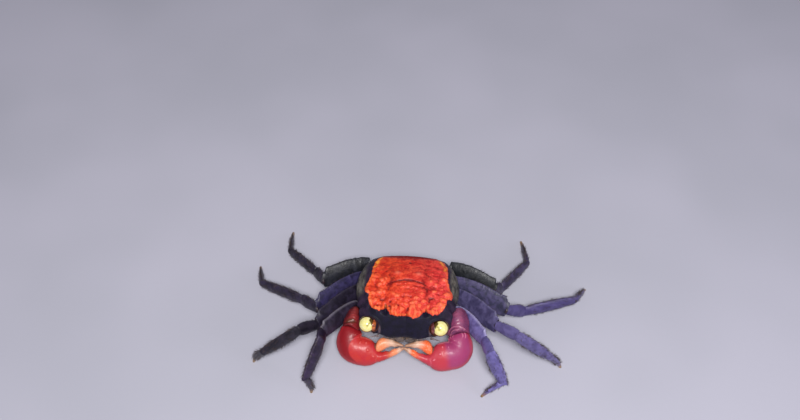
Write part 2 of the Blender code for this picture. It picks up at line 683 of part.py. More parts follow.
def chela_rings(stations):
    """Rings across the chela's curve, which lies in one plane; the outer face looks forward."""
    face = (CHELA_BEND - CHELA_HEEL).cross(CHELA_TIP - CHELA_HEEL).normalized()
    if face.y > 0:
        face = -face
    rings = []
    for station in stations:
        centre, along = bend(CHELA_HEEL, CHELA_BEND, CHELA_TIP, station.at)
        top = along.cross(face)
        middle = centre + top * station.middle
        rings.append(oval(middle, face, top, station.half, station.half, station.outer,
                          station.inner, CHELA_SIDES, 2.0, 2.0))
    return rings


def build_claw(letter, collection, cutters, carapace):
    side = 1 if letter == "l" else -1
    name = "claw_" + letter + "_"
    hip_way = (CLAW_ELBOW - CLAW_HIP).normalized()
    wrist_way = (CLAW_WRIST - CLAW_ELBOW).normalized()
    elbow_plane = joint_plane(hip_way, wrist_way)
    rings = limb_rings(CLAW_HIP, CLAW_ELBOW, hip_way, elbow_plane, GAP, GAP, CLAW_MERUS,
                       CLAW_MERUS_SIZE, 0.0)
    merus = loft_object(name + "merus", rings, side, CLAW_RED, 0.35, collection)
    palm = loft_object(name + "palm", chela_rings(PALM + FIXED_FINGER), side, CLAW_RED, 0.3,
                       collection)
    loft_object(name + "finger", chela_rings(FREE_FINGER), side, FINGER_ORANGE, 0.3, collection)
    rings = limb_rings(CLAW_ELBOW, CLAW_WRIST, elbow_plane, wrist_way, GAP, 0.0, CLAW_CARPUS,
                       CLAW_CARPUS_SIZE, 0.0)
    carpus = loft_object(name + "carpus", rings, side, CLAW_RED, 0.35, collection)
    leg = bpy.data.objects["leg_" + letter + "1_merus"]
    for neighbour in (palm, leg, carapace):
        add_cut(carpus, grown_cutter(neighbour, GAP, cutters), "clear_of_" + neighbour.name)
    settle(carpus)
    for neighbour in (leg, carapace):
        add_cut(merus, grown_cutter(neighbour, GAP, cutters), "clear_of_" + neighbour.name)
    settle(merus)


def centre_footprint(collection):
    """Hang every piece on one empty that puts the footprint's middle on the origin."""
    corners = [obj.matrix_world @ vert.co for obj in collection.objects for vert in obj.data.vertices]
    xs = [c.x for c in corners]
    ys = [c.y for c in corners]
    base = bpy.data.objects.new("crab_frame", None)
    base.location = (-(min(xs) + max(xs)) / 2, -(min(ys) + max(ys)) / 2, 0.0)
    pieces = list(collection.objects)
    collection.objects.link(base)
    for piece in pieces:
        piece.parent = base


def build_crab():
    clear_scene()
    crab = new_collection("vampire_crab")
    cutters = new_collection("cutters")
    carapace = build_carapace(crab, cutters)
    build_thorax(crab, cutters, carapace)
    build_pleon(crab)
    for side, letter in ((1, "l"), (-1, "r")):
        build_jaw(side, letter, crab)
        build_eye(side, letter, crab)
        build_feeler("antennule_" + letter, *ANTENNULE, 0.2, side, BELLY_GREY, crab)
        build_feeler("antenna_" + letter, *ANTENNA, 0.12, side, BELLY_GREY, crab)
        for leg in sorted(LENGTHS):
            build_leg(letter, leg, crab)
        build_claw(letter, crab, cutters, carapace)
    centre_footprint(crab)


build_crab()
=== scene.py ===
"""Looks of the vampire crab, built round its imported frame.

Shapes are worked out in the crab's own millimetres, with the same sizes as its solids: it faces
-Y, its left side is +X and the floor is z = 0. Every limb is worked out on the left and mirrored
for the right. place() turns these points into the frame's metres. Colours are given as 0 to 255
for the screen.
"""

import math
import random
from collections import namedtuple

import bmesh
import bpy
import numpy as np
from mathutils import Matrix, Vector, noise


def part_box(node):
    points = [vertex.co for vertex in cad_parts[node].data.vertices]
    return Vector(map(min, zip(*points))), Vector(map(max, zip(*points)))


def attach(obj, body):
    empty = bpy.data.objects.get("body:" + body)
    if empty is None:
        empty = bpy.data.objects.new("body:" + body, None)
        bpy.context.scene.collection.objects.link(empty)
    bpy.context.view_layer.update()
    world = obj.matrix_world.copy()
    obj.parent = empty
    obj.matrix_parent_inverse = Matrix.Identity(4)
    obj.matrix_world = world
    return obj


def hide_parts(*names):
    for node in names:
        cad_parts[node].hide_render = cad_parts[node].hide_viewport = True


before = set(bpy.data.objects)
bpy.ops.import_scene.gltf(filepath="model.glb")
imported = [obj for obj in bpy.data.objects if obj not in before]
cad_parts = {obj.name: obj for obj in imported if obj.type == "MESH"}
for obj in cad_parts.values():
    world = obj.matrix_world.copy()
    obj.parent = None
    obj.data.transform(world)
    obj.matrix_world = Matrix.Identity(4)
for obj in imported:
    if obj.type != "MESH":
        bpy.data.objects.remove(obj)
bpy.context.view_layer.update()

MM = 0.001
BODY = "root"
SIDES = {"l": 1, "r": -1}
UP = np.array((0.0, 0.0, 1.0))
LEFTWARD = np.array((1.0, 0.0, 0.0))

# The shell, and how far its back falls from the apex at the sides, in front and behind.
HALF_WIDTH = 8.6
HALF_LENGTH = 7.65
FRONT_REACH = 8.05
APEX_Z = 11.2
CROWN_Y = 0.5
UNDERSIDE_Z = 5.3
SIDE_FALL = 1.0
FRONT_FALL = 1.15
REAR_FALL = 1.7
# The left half of its rim, front to rear: the rim, the wall's foot below it, how square the back
# is there and how far in that reaches, how the wall curves, the columns up to the next landmark,
# and whether the rim has a corner.
Landmark = namedtuple("Landmark", "rim foot edge reach wall columns sharp")
LANDMARKS = [Landmark(*row) for row in (
    ((0.0, -7.75, 6.95), (0.0, -5.9, 3.9), 1.25, 0.21, 0.4, 4, False),
    ((2.1, -8.05, 6.95), (1.7, -5.9, 3.9), 1.25, 0.22, 0.4, 4, False),
    ((4.0, -7.7, 7.3), (3.3, -5.7, 3.9), 1.25, 0.22, 0.45, 5, True),
    ((5.9, -7.1, 7.3), (4.8, -5.3, 4.0), 1.5, 0.22, 0.65, 3, False),
    ((7.2, -6.2, 8.0), (5.4, -4.9, 4.2), 1.5, 0.18, 0.8, 3, False),
    ((7.65, -4.7, 9.1), (5.7, -4.4, 4.3), 1.5, 0.14, 0.8, 2, True),
    ((7.6, -4.0, 8.9), (5.9, -3.9, 4.5), 1.7, 0.18, 0.8, 2, False),
    ((8.1, -3.3, 8.8), (6.1, -3.3, 4.7), 1.7, 0.20, 0.9, 2, True),
    ((8.1, -2.5, 8.5), (6.3, -2.5, 4.9), 1.8, 0.24, 1.1, 5, False),
    ((8.6, 1.0, 7.7), (6.5, 0.6, 5.3), 2.2, 0.32, 1.7, 5, False),
    ((7.8, 4.6, 7.4), (6.2, 3.8, 5.3), 2.2, 0.32, 1.7, 3, False),
    ((6.5, 6.4, 7.4), (5.2, 5.5, 5.3), 2.0, 0.26, 1.5, 3, False),
    ((4.9, 7.0, 7.8), (3.9, 6.3, 5.3), 1.8, 0.2, 1.5, 6, True),
    ((0.0, 7.25, 8.0), (0.0, 6.7, 5.3), 1.8, 0.2, 1.5, 0, False),
)]
Swelling = namedtuple("Swelling", "x y wide long rise")
SWELLINGS = [Swelling(*row) for row in (
    (1.75, 1.9, 0.85, 0.5, 0.22), (4.0, 0.6, 0.75, 0.8, 0.2), (6.0, 1.1, 0.8, 0.9, 0.28),
    (7.1, -1.6, 0.9, 0.8, 0.45), (5.8, -3.7, 0.9, 0.8, 0.4), (4.7, -5.0, 0.8, 0.6, 0.5),
    (1.5, -4.9, 1.1, 0.8, 0.42), (2.1, -2.4, 1.0, 1.0, 0.22),
)]
# Grooves: line and half are how wide and how long they fade, and turn is how much one that runs
# across curves, or one that runs along leans outward.
Groove = namedtuple("Groove", "x y line half depth turn")
ARC_GROOVE = Groove(0.0, 0.6, 0.3, 2.4, 0.16, 0.09)
REAR_GROOVE = Groove(0.0, 5.95, 0.32, 4.8, 0.2, 0.0)
GROOVES_ALONG = (
    Groove(3.1, -1.2, 0.45, 2.6, 0.2, -0.3), Groove(2.95, 2.4, 0.4, 1.6, 0.12, 0.05),
    Groove(0.0, -5.2, 0.35, 1.0, 0.5, 0.0), Groove(3.25, -5.0, 0.4, 0.6, 0.4, 0.0),
)
# How much finer the render's shell is than its solid, with its rings on the back and the wall,
# and the same for the larger copy that clears the pieces beneath it.
SHELL_GRID = (5, 150, 56)
SHELL_CUTTER_GRID = (2, 30, 12)
CUTTER_GAP = 0.1

# The red patch on the back, from the middle of the rear round each side to the middle of the
# front: a straight rear, a tooth at the shoulder, a second tooth, then lobes in front. It lies
# a little nearer the middle behind on the crab's right.
RED_LEFT = (
    (0.0, 6.95), (3.4, 6.85), (4.9, 6.45), (6.0, 5.3), (6.5, 4.0), (6.6, 2.3), (6.6, 1.0),
    (6.9, -0.3), (7.5, -1.4), (7.3, -2.3), (6.5, -2.6), (6.5, -3.5), (6.1, -4.3), (5.3, -5.3),
    (4.4, -5.5), (3.7, -5.1), (3.2, -4.7), (2.8, -5.1), (2.3, -5.85), (1.3, -6.15), (0.2, -5.7),
)
RED_RIGHT = (
    (3.0, 6.9), (4.4, 6.4), (5.4, 5.3), (5.8, 4.2), (6.0, 2.8), (6.0, 1.5), (6.4, 0.2),
    (7.0, -1.1), (6.8, -1.9), (6.1, -2.3), (6.2, -3.2), (5.9, -4.2), (5.2, -5.0),
    (4.3, -5.3), (3.7, -4.9), (3.3, -4.5), (2.9, -4.9), (2.4, -5.7), (1.3, -6.0),
)
PITS = ((-1.9, -4.4), (-1.5, -5.1), (-1.3, -4.2), (0.2, 4.5), (2.4, -4.7), (-2.6, -3.6))
PIT_DEPTH = 0.2
PIT_WIDTH = 0.17
RIPPLE_RISE = 0.05
ARC_LINE = {"x": 0.3, "depth": 0.17, "wide": 0.12, "half": 2.1}
LUMP_RISE = 0.3
FRINGE_RISE = 0.09
ORBIT_LIP = 0.16

# Orbits, which hold the eyes and their stalks closely, and eyes. EYE_INWARD and ORBIT_INWARD are
# how far each side's stand nearer the middle, and EYE_LARGER is how much larger the render's
# ball is than the solid's.
ORBIT = np.array((5.85, -6.6, 8.35))
ORBIT_RADII = np.array((1.66, 1.38, 1.36))
ORBIT_TURNS = (72, 48)
EYE = np.array((6.15, -6.5, 8.3))
EYE_RADIUS = 1.2
STALK_ROOT = np.array((4.65, -6.75, 8.4))
EYE_INWARD = {"l": 0.45, "r": 0.0}
ORBIT_INWARD = {"l": 0.36, "r": 0.0}
EYE_LARGER = 1.13
BALL_TURNS = 128
BALL_RINGS = 110
# The way each eye looks, and where round its middle the dark bite in the yellow lies.
GAZE = np.array((0.04, -0.635, 0.772))
BITE_TURN = math.radians(30)
BITE_SPREAD = math.radians(40)
# The stalk's cup: its lip as a share of the ball's radius, how much wider it is than the ball,
# and its notch toward the viewer.
CUP_TURNS = 72
CUP_OUTER_RINGS = 46
CUP_INNER_RINGS = 14
CUP_LIP = 0.78
CUP_WIDER = 1.012
NOTCH_TURN = -0.9
NOTCH_SPREAD = 0.55
NOTCH_DEPTH = 0.2

# Thorax, tail flap, mouth and feelers. The stations are y, half width and lowest z, then y, z,
# half width and whether a segment ends there.
THORAX_STATIONS = (
    (-4.7, 2.0, 3.1), (-3.9, 3.6, 2.8), (-2.4, 4.6, 2.6), (0.0, 5.0, 2.5),
    (2.6, 4.9, 2.5), (4.8, 4.3, 2.7), (6.0, 3.3, 3.0), (6.6, 2.2, 3.4),
)
THORAX_RINGS = 150
THORAX_SIDES = 108
THORAX_GAP = 0.12
STERNUM_SEAMS = (-2.7, -0.6, 1.5, 3.6, 5.3)
COXA_HALF = 1.05
COXA_ROOT_X = 3.4
COXA_PROFILE = ((0.0, 1.0), (0.5, 1.0), (0.8, 1.08), (0.93, 1.0), (1.0, 0.9))
COXA_SEAM = (0.7, 0.03)
COXA_GRID = (34, 40)
PLEON_STATIONS = (
    (8.15, 6.4, 2.5, 0), (8.15, 5.5, 2.65, 1), (7.9, 4.4, 2.6, 0), (7.3, 3.3, 2.5, 1),
    (6.4, 2.45, 2.4, 0), (5.2, 2.0, 2.3, 1), (3.8, 1.85, 2.1, 0), (2.4, 1.8, 1.75, 1),
    (1.0, 1.8, 1.4, 0), (-0.4, 1.85, 1.1, 1), (-1.5, 1.95, 0.75, 0), (-2.3, 2.05, 0.3, 0),
)
PLEON_RINGS = 190
PLEON_SIDES = 84
PLEON_THICK = 0.6
PLEON_STEP = 0.12
JAW_SIZE = np.array((2.7, 0.46, 2.2))
JAW_CENTRE = np.array((1.55, -6.68, 4.5))
JAW_TILT = 15.0
JAW_DOME = 0.12
JAW_TAPER = 0.28
JAW_GRID = (60, 96)
PALP_START = np.array((0.75, -0.42, 0.95))
PALP_BENDS = ((0.0, 0.0, 0.0), (-0.35, -0.2, -0.1), (-0.65, -0.12, -0.65), (-0.85, 0.0, -1.15))
PALP_RADII = (0.2, 0.18, 0.13)
PALP_GRID = (18, 18)
ANTENNULE = (np.array((1.2, -7.4, 6.22)), np.array((2.9, -7.45, 6.22)), 0.22)
ANTENNA = (np.array((4.2, -7.4, 6.45)), np.array((5.8, -7.8, 6.35)), 0.26)
ANTENNULE_GRID = (20, 20)
FLAGELLUM_GRID = (20, 12)
ANTENNA_GRID = (130, 20)
ANTENNA_TIP = 0.08
ANTENNA_BASE = 0.34
ANTENNA_LINKS = 26

# Walking legs, counted 1 to 4 from the front. Sizes are height and thickness. The pose is each
# piece's heading from +X toward -Y and its rise in degrees, with only a heading for the toe.
HIPS = {1: (6.2, -0.7, 3.8), 2: (6.3, 1.6, 3.8), 3: (6.1, 3.8, 3.8), 4: (5.5, 5.8, 3.9)}
ROOTS = {1: (8.6, -1.0, 5.0), 2: (8.2, 2.2, 5.0), 3: (8.0, 4.5, 5.1), 4: (7.4, 7.2, 5.6)}
LENGTHS = {
    1: (8.4, 3.5, 6.7, 4.5), 2: (10.6, 4.1, 7.8, 4.9),
    3: (9.9, 4.2, 9.4, 5.6), 4: (8.0, 3.6, 7.9, 6.1),
}
ISCHIUM_SIZE = (1.9, 1.5)
MERUS_SIZE = {1: (2.9, 1.05), 2: (3.6, 1.05), 3: (4.0, 1.05), 4: (3.8, 1.1)}
CARPUS_SIZE = (2.3, 1.35)
PROPODUS_SIZE = {1: (2.6, 1.45), 2: (2.25, 1.25), 3: (2.3, 1.25), 4: (2.3, 1.25)}
DACTYLUS_SIZE = (1.25, 0.85)
MERUS_BOW = 0.5
DACTYLUS_BOW = 0.55
MERUS_LEAN = 32.0
CARPUS_LEAN = 20.0
PROPODUS_LEAN = 10.0
FOOT_RADIUS = 0.22
POSE = {
    ("l", 1): ((58, 17), (75, 25), (37, -62), 161),
    ("l", 2): ((49, 18), (38, 17), (4, -42), -15),
    ("l", 3): ((27, -2), (-26, -36), (-16, 4), -61),
    ("l", 4): ((23, -8), (-57, -46), (-52, -2), -98),
    ("r", 1): ((54, 12), (94, 39), (65, -42), 175),
    ("r", 2): ((53, 9), (47, 32), (17, -35), -17),
    ("r", 3): ((45, 5), (-42, -24), (-28, -12), -75),
    ("r", 4): ((25, -3), (-57, -28), (-44, -10), -85),
}
# Profiles of limb pieces: how far along, then the upper, lower and side halves as shares.
ISCHIUM = ((0.0, 0.9, 0.9, 0.9), (0.5, 1.0, 1.0, 1.0), (1.0, 0.98, 0.98, 0.8))
MERUS = (
    (0.0, 0.64, 0.62, 0.95), (0.2, 0.86, 0.84, 1.0), (0.5, 1.0, 1.0, 1.0),
    (0.78, 0.98, 0.92, 0.97), (0.89, 1.04, 0.82, 0.95), (0.95, 0.74, 0.76, 0.92),
    (1.0, 0.66, 0.7, 0.9),
)
CARPUS = (
    (0.0, 0.72, 0.7, 0.87), (0.3, 0.88, 0.82, 0.95), (0.7, 1.0, 0.92, 1.0),
    (1.0, 0.88, 0.86, 0.92),
)
PROPODUS = (
    (0.0, 0.8, 0.8, 0.88), (0.25, 1.0, 0.95, 1.0), (0.6, 0.96, 0.92, 0.96),
    (1.0, 0.62, 0.64, 0.72),
)
DACTYLUS = (
    (0.0, 1.0, 1.0, 1.0), (0.2, 0.94, 0.94, 0.96), (0.45, 0.74, 0.74, 0.78),
    (0.7, 0.54, 0.48, 0.6), (0.9, 0.38, 0.3, 0.45),
)
# Rings of a leg's ischium, merus, carpus, propodus and dactylus.
LEG_RINGS = (26, 110, 48, 90, 70)
LEG_SIDES = 40
FOOT_STEPS = 8
# The relief of limb pieces: how far apart their wrinkles are and how deep, and how high and how
# far apart the teeth of their edges are.
Crust = namedtuple("Crust", "rows depth tooth apart")
MERUS_TOOTH = {1: 0.05, 2: 0.05, 3: 0.05, 4: 0.015}
MERUS_CRUST = Crust(0.75, 0.006, 0.05, 0.42)
FAR_CRUST = Crust(0.6, 0.014, 0.05, 0.38)
ARM_CRUST = Crust(0.55, 0.014, 0.02, 0.4)
GRANULE_RISE = 0.03
LIMB_LUMP_RISE = 0.035
KEEL_RISE = 0.045
# How much narrower the merus is at its seam with the ischium, and over how many rings.
SEAM_SHARE = 0.07
SEAM_HALF = 1.6

# Claws. Their profiles are how far along the curve from heel to tip, the middle's height over
# the curve, half the height, and how far the outer and inner faces stand out.
CLAW_HIP = np.array((5.5, -3.3, 3.7))
CLAW_ELBOW = np.array((8.3, -2.9, 5.5))
CLAW_WRIST = np.array((9.0, -6.4, 6.2))
CLAW_MERUS_SIZE = (2.2, 1.9)
CLAW_CARPUS_SIZE = (3.0, 2.8)
CLAW_MERUS = ((0.0, 0.8, 0.8, 0.8), (0.4, 1.0, 1.0, 1.0), (1.0, 0.95, 0.9, 0.95))
CLAW_CARPUS = (
    (0.0, 0.66, 0.62, 0.65), (0.22, 1.0, 0.9, 0.92), (0.5, 1.08, 1.0, 1.0), (1.0, 0.8, 0.9, 0.9),
)
ARM_RINGS = 90
ARM_SIDES = 72
CHELA_HEEL = np.array((9.0, -5.6, 6.2))
CHELA_BEND = np.array((10.0, -9.1, 2.2))
CHELA_TIP = np.array((0.35, -8.7, 5.1))
CHELA_SIDES = 84
PALM_RINGS = 170
FINGER_RINGS = 80
PALM = (
    (0.0, 0.0, 0.75, 0.6, 0.6), (0.03, 0.0, 1.25, 1.05, 1.0), (0.09, 0.1, 1.75, 1.45, 1.35),
    (0.17, -0.05, 2.15, 1.75, 1.5), (0.26, -0.35, 2.4, 1.95, 1.6), (0.35, -0.7, 2.45, 2.0, 1.6),
    (0.44, -0.85, 2.4, 1.95, 1.55), (0.53, -0.7, 2.38, 1.8, 1.45), (0.62, -0.58, 2.2, 1.6, 1.3),
    (0.68, -0.5, 1.92, 1.4, 1.15), (0.72, -0.55, 1.6, 1.2, 1.0), (0.75, -0.8, 1.2, 1.05, 0.92),
)
FIXED_FINGER = (
    (0.775, -1.1, 0.84, 0.95, 0.85), (0.8, -1.15, 0.68, 0.8, 0.7), (0.84, -1.02, 0.6, 0.68, 0.6),
    (0.88, -0.88, 0.46, 0.56, 0.5), (0.92, -0.62, 0.46, 0.47, 0.44),
    (0.96, -0.38, 0.38, 0.38, 0.34), (0.995, -0.16, 0.27, 0.28, 0.26),
    (1.018, -0.06, 0.17, 0.18, 0.18),
)
FREE_FINGER = (
    (0.757, 0.45, 0.78, 0.84, 0.72), (0.775, 0.62, 1.0, 0.94, 0.84), (0.805, 0.8, 1.06, 0.9, 0.8),
    (0.845, 1.0, 0.86, 0.7, 0.64), (0.89, 1.08, 0.6, 0.54, 0.5), (0.935, 0.9, 0.48, 0.46, 0.42),
    (0.97, 0.72, 0.35, 0.37, 0.33), (1.0, 0.46, 0.25, 0.27, 0.26), (1.016, 0.34, 0.16, 0.18, 0.18),
)
# Small round tubercles on the palm: how far along it and how many degrees round from outward.
TUBERCLES = ((0.143, 41), (0.3, 58), (0.617, 54), (0.66, 20), (0.73, -11), (0.5, 50))
# Where along each palm the painted shade on its root ends, how much nearer the root that is
# above than below, and how softly it fades.
PALM_SHADE_END = {"l": (0.56, 0.0, 0.2), "r": (0.38, 0.24, 0.05)}
# How much deeper each palm is under the root of its fingers, how much broader each carpus is at
# the elbow, and what share of that is gone by the wrist.
PALM_CHIN = {"l": 0.5, "r": 0.25}
SHOULDER = {"l": 0.7, "r": 0.15}
SHOULDER_FADE = 0.6
# How much lower each palm's upper edge is where it passes the eye, and where along the palm.
PALM_DIP = 0.16
PALM_DIP_AT = 0.19
PALM_DIP_HALF = 0.06
# The boss at the left palm's root with the ridges round it, and the slit on the right wrist.
BOSS = np.array((8.6, -6.77, 6.6))
BOSS_RIDGES = (0.85, 1.3)
RIDGE_RISE = 0.07
SLIT = np.array((9.06, -5.6, 7.45))
SLIT_DEPTH = 0.14

# The render's limb pieces come this near to the planes of their joints, and each has a knob
# that sits in the joint before it and a lip round its far end: how far out, and what share.
JOINT_GAP = 0.12
KNOB = ((0.5, 0.4), (0.45, 0.6), (0.25, 0.76), (0.08, 0.84), (0.03, 0.93))
LIP = ((0.05, 0.97), (0.06, 0.9), (0.0, 0.82), (-0.15, 0.75))

# Where bristles stand on each leg piece: how far along, how far round from the upper edge in
# degrees and how far they spread, how many for each millimetre, and how long they are.
Tuft = namedtuple("Tuft", "part start end around spread dense long")
TUFTS = [Tuft(*row) for row in (
    (0, 0.35, 0.98, 0, 22, 6, 0.26), (0, 0.5, 0.98, 180, 25, 4, 0.26),
    (1, 0.1, 0.95, 0, 40, 7, 0.28), (2, 0.05, 0.98, 0, 34, 14, 0.42),
    (2, 0.15, 0.98, 180, 34, 12, 0.42), (2, 0.1, 0.95, 90, 60, 6, 0.3),
    (2, 0.1, 0.95, 270, 60, 6, 0.3), (3, 0.03, 0.62, 0, 38, 16, 0.55),
    (3, 0.03, 0.6, 180, 38, 13, 0.5), (3, 0.05, 0.55, 90, 60, 6, 0.36),
    (3, 0.05, 0.55, 270, 60, 6, 0.36),
)]
# A bristle's rings: how far along it and what share of its thickness, then how far it curves.
BRISTLE_SHAPE = ((-0.06, 1.0), (0.35, 0.85), (0.72, 0.55))
BRISTLE_THICK = 0.03
BRISTLE_BEND = 0.22
BRISTLE_POINTS = 13
UV_PATCH = 0.003

# Colours: dark, light and pale edge of each leg's merus with the share of that edge, the same of
# its further pieces, and where the edge's pale rim starts on the merus, from 0 on the face's
# middle to 1 on the edge. The pale edge colour is a painted highlight along the upper edge, and
# it also lightens a few specks and granules.
# The crab's left legs are lighter and more lilac here and below: a painted glare tint on that
# side.
LEG_COLOURS = {
    ("l", 1): ((78, 70, 116), (112, 103, 158), (170, 164, 198), 0.6),
    ("l", 2): ((56, 52, 84), (84, 78, 116), (132, 126, 158), 0.25),
    ("l", 3): ((42, 42, 62), (70, 64, 98), (104, 98, 128), 0.25),
    ("l", 4): ((18, 20, 24), (34, 36, 42), (60, 64, 66), 0.2),
    ("r", 1): ((26, 20, 34), (48, 40, 58), (118, 112, 124), 0.6),
    ("r", 2): ((22, 17, 30), (40, 34, 52), (78, 72, 90), 0.25),
    ("r", 3): ((28, 24, 50), (50, 44, 82), (84, 78, 108), 0.25),
    ("r", 4): ((17, 18, 24), (32, 33, 42), (56, 58, 62), 0.2),
}
FAR_COLOURS = {
    ("l", 1): ((88, 80, 134), (108, 100, 158), (146, 140, 184)),
    ("l", 2): ((78, 70, 114), (98, 90, 138), (138, 130, 172)),
    ("l", 3): ((60, 52, 96), (76, 68, 114), (110, 102, 142)),
    ("l", 4): ((38, 32, 54), (60, 52, 82), (92, 84, 110)),
    ("r", 1): ((26, 18, 38), (48, 36, 62), (84, 74, 96)),
    ("r", 2): ((20, 17, 27), (38, 33, 46), (70, 66, 80)),
    ("r", 3): ((26, 21, 36), (46, 39, 60), (80, 74, 94)),
    ("r", 4): ((24, 20, 32), (42, 36, 54), (72, 68, 84)),
}
HIGHLIGHT_FROM = {1: 0.3, 2: 0.6, 3: 0.6, 4: 0.6}
FAR_HIGHLIGHT = (0.2, 0.6)
# Main, deep, light, finger and sheen colours of the claws, main, deep and light of their arms,
# dark and light of the eyestalks, and dark, light and groove of the plates beneath. A claw's deep
# colour is painted shade on the palm's root, its sheen and an arm's light colour paint highlights,
# and the crab's left claw and arm are pinker and more purple from a painted glare tint.
CLAW_COLOURS = {
    "r": ((178, 44, 40), (130, 18, 26), (172, 36, 44), (222, 130, 86), (226, 120, 110)),
    "l": ((176, 50, 62), (150, 54, 98), (176, 50, 66), (228, 96, 46), (236, 150, 170)),
}
ARM_COLOURS = {
    "r": ((124, 32, 36), (86, 22, 28), (164, 70, 66)),
    "l": ((128, 56, 88), (104, 50, 84), (176, 104, 132)),
}
STALK_COLOURS = {"r": ((110, 50, 20), (186, 100, 46)), "l": ((74, 32, 38), (128, 66, 60))}
BELLY_COLOURS = {
    "mouth": ((60, 48, 44), (112, 94, 82), (126, 72, 38)),
    "feeler": ((78, 66, 68), (124, 108, 106), (52, 42, 44)),
    "belly": ((96, 85, 76), (138, 126, 114), (56, 45, 42)),
}
JOINT_SKIN = (48, 38, 44)
FLOOR_SIZE = 3.0
FLOOR_COLOURS = ((168, 168, 179), (176, 175, 187))

# Lights as place, energy, size and colour in metres and watts, and the room's own light.
LIGHTS = {
    "key_light": ((0.015, -0.165, 0.262), 1.14, 0.07, (1.0, 0.99, 0.98)),
    "side_light": ((0.3, -0.16, 0.14), 0.18, 0.14, (0.86, 0.83, 1.0)),
}
ROOM_COLOUR = (206, 204, 222)
ROOM_STRENGTH = 0.34

# The camera that took the photo: degrees round the crab and above level, its distance and the
# point it looks at in millimetres, and its lens for a sensor 36 wide.
CAMERA_ROUND = 3.8
CAMERA_ABOVE = 50.5
CAMERA_AWAY = 160.0
CAMERA_TARGET = np.array((-2.6, 20.4, 5.0))
CAMERA_LENS = 39.06
SENSOR_WIDTH = 36.0
CLIP_START = 0.005

shell_low, shell_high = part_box("carapace")
SHIFT = np.array((
    (shell_low.x + shell_high.x) / 2,
    shell_low.y + FRONT_REACH * MM,
    0.0,
))


# Numbers, surfaces and pieces.

def unit(vector):
    return vector / np.linalg.norm(vector, axis=-1, keepdims=True)


def place(points, side=1):
    """Points in the crab's millimetres, mirrored for its right side, in the frame's metres."""
    return np.asarray(points, float) * (side * MM, MM, MM) + SHIFT


def clamp(value):
    return np.clip(value, 0.0, 1.0)


def bell(distance, width):
    return np.exp(-((distance / width) ** 2))


def ease(value, low, high):
    """0 below low, 1 above high and smooth between them."""
    share = clamp((value - low) / (high - low))
    return share * share * (3.0 - 2.0 * share)


def band(value, low, full, fading, high):
    """1 from full to fading, and smoothly down to 0 at low and high."""
    return ease(value, low, full) * (1.0 - ease(value, fading, high))


def curve_between(u, start, start_slope, end, end_slope):
    """The smooth curve from start to end, u of the way along."""
    return (
        start * (2 * u ** 3 - 3 * u ** 2 + 1) + start_slope * (u ** 3 - 2 * u ** 2 + u)
        + end * (3 * u ** 2 - 2 * u ** 3) + end_slope * (u ** 3 - u ** 2)
    )


def through(stations, at):
    """The stations' values at each place, on smooth curves that don't overshoot them."""
    rows = np.array(stations, float)
    places, values = rows[:, 0], rows[:, 1:]
    rise = np.diff(values, axis=0) / np.diff(places)[:, None]
    slope = np.zeros_like(values)
    slope[0], slope[-1] = rise[0], rise[-1]
    product, total = rise[:-1] * rise[1:], rise[:-1] + rise[1:]
    same = product > 1e-12
    slope[1:-1] = np.where(same, 2.0 * product / np.where(same, total, 1.0), 0.0)
    k = np.clip(np.searchsorted(places, at, side="right") - 1, 0, len(places) - 2)
    span = (places[k + 1] - places[k])[:, None]
    u = (at - places[k])[:, None] / span
    return curve_between(u, values[k], slope[k] * span, values[k + 1], slope[k + 1] * span)


def lumps(points, size, seed=0.0, octaves=3):
    """Soft noise of about -1 to 1 at each point, with lumps about size across."""
    flat = points.reshape(-1, 3) / size + seed
    values = [noise.fractal(Vector(p), 1.0, 2.0, octaves) for p in flat]
    return np.array(values).reshape(points.shape[:-1])


def grains(points, size, seed=0.0):
    """Round granules: 1 at the middle of each cell about size across, and 0 between them."""
    flat = points.reshape(-1, 3) / size + seed
    values = np.array([noise.voronoi(Vector(p))[0][0] for p in flat])
    return clamp(1.0 - values * 1.6).reshape(points.shape[:-1])


def grid_normals(rings):
    """Directions out of the surface at each point of closed rings."""
    around = np.roll(rings, -1, axis=1) - np.roll(rings, 1, axis=1)
    normals = np.cross(around, np.gradient(rings, axis=0))
    normals /= np.maximum(np.linalg.norm(normals, axis=-1, keepdims=True), 1e-9)
    outward = rings - rings.mean(axis=1, keepdims=True)
    return -normals if (outward * normals).sum() < 0 else normals


def raised(rings, height):
    """The rings moved outward by height at each point."""
    return rings + grid_normals(rings) * height[..., None]


def linked(name, data):
    obj = bpy.data.objects.new(name, data)
    bpy.context.scene.collection.objects.link(obj)
    return obj


def mesh_object(name, points, faces, marks):
    mesh = bpy.data.meshes.new(name)
    mesh.from_pydata(points.tolist(), [], faces)
    for key, values in marks.items():
        attribute = mesh.attributes.new(key, "FLOAT", "POINT")
        attribute.data.foreach_set("value", np.asarray(values, np.float32).ravel())
    mesh.shade_smooth()
    return linked(name, mesh)


def ring_faces(count, sides):
    """Faces between closed rings, and fans to the two points after them that close the ends."""
    k = np.arange(sides)
    nxt = (k + 1) % sides
    base = np.arange(count - 1)[:, None] * sides
    quads = np.stack((base + k, base + nxt, base + sides + nxt, base + sides + k), axis=-1)
    faces = quads.reshape(-1, 4).tolist()
    first, last, top = count * sides, count * sides + 1, (count - 1) * sides
    faces += [(int(nxt[i]), int(k[i]), first) for i in range(sides)]
    faces += [(int(top + k[i]), int(top + nxt[i]), last) for i in range(sides)]
    return faces


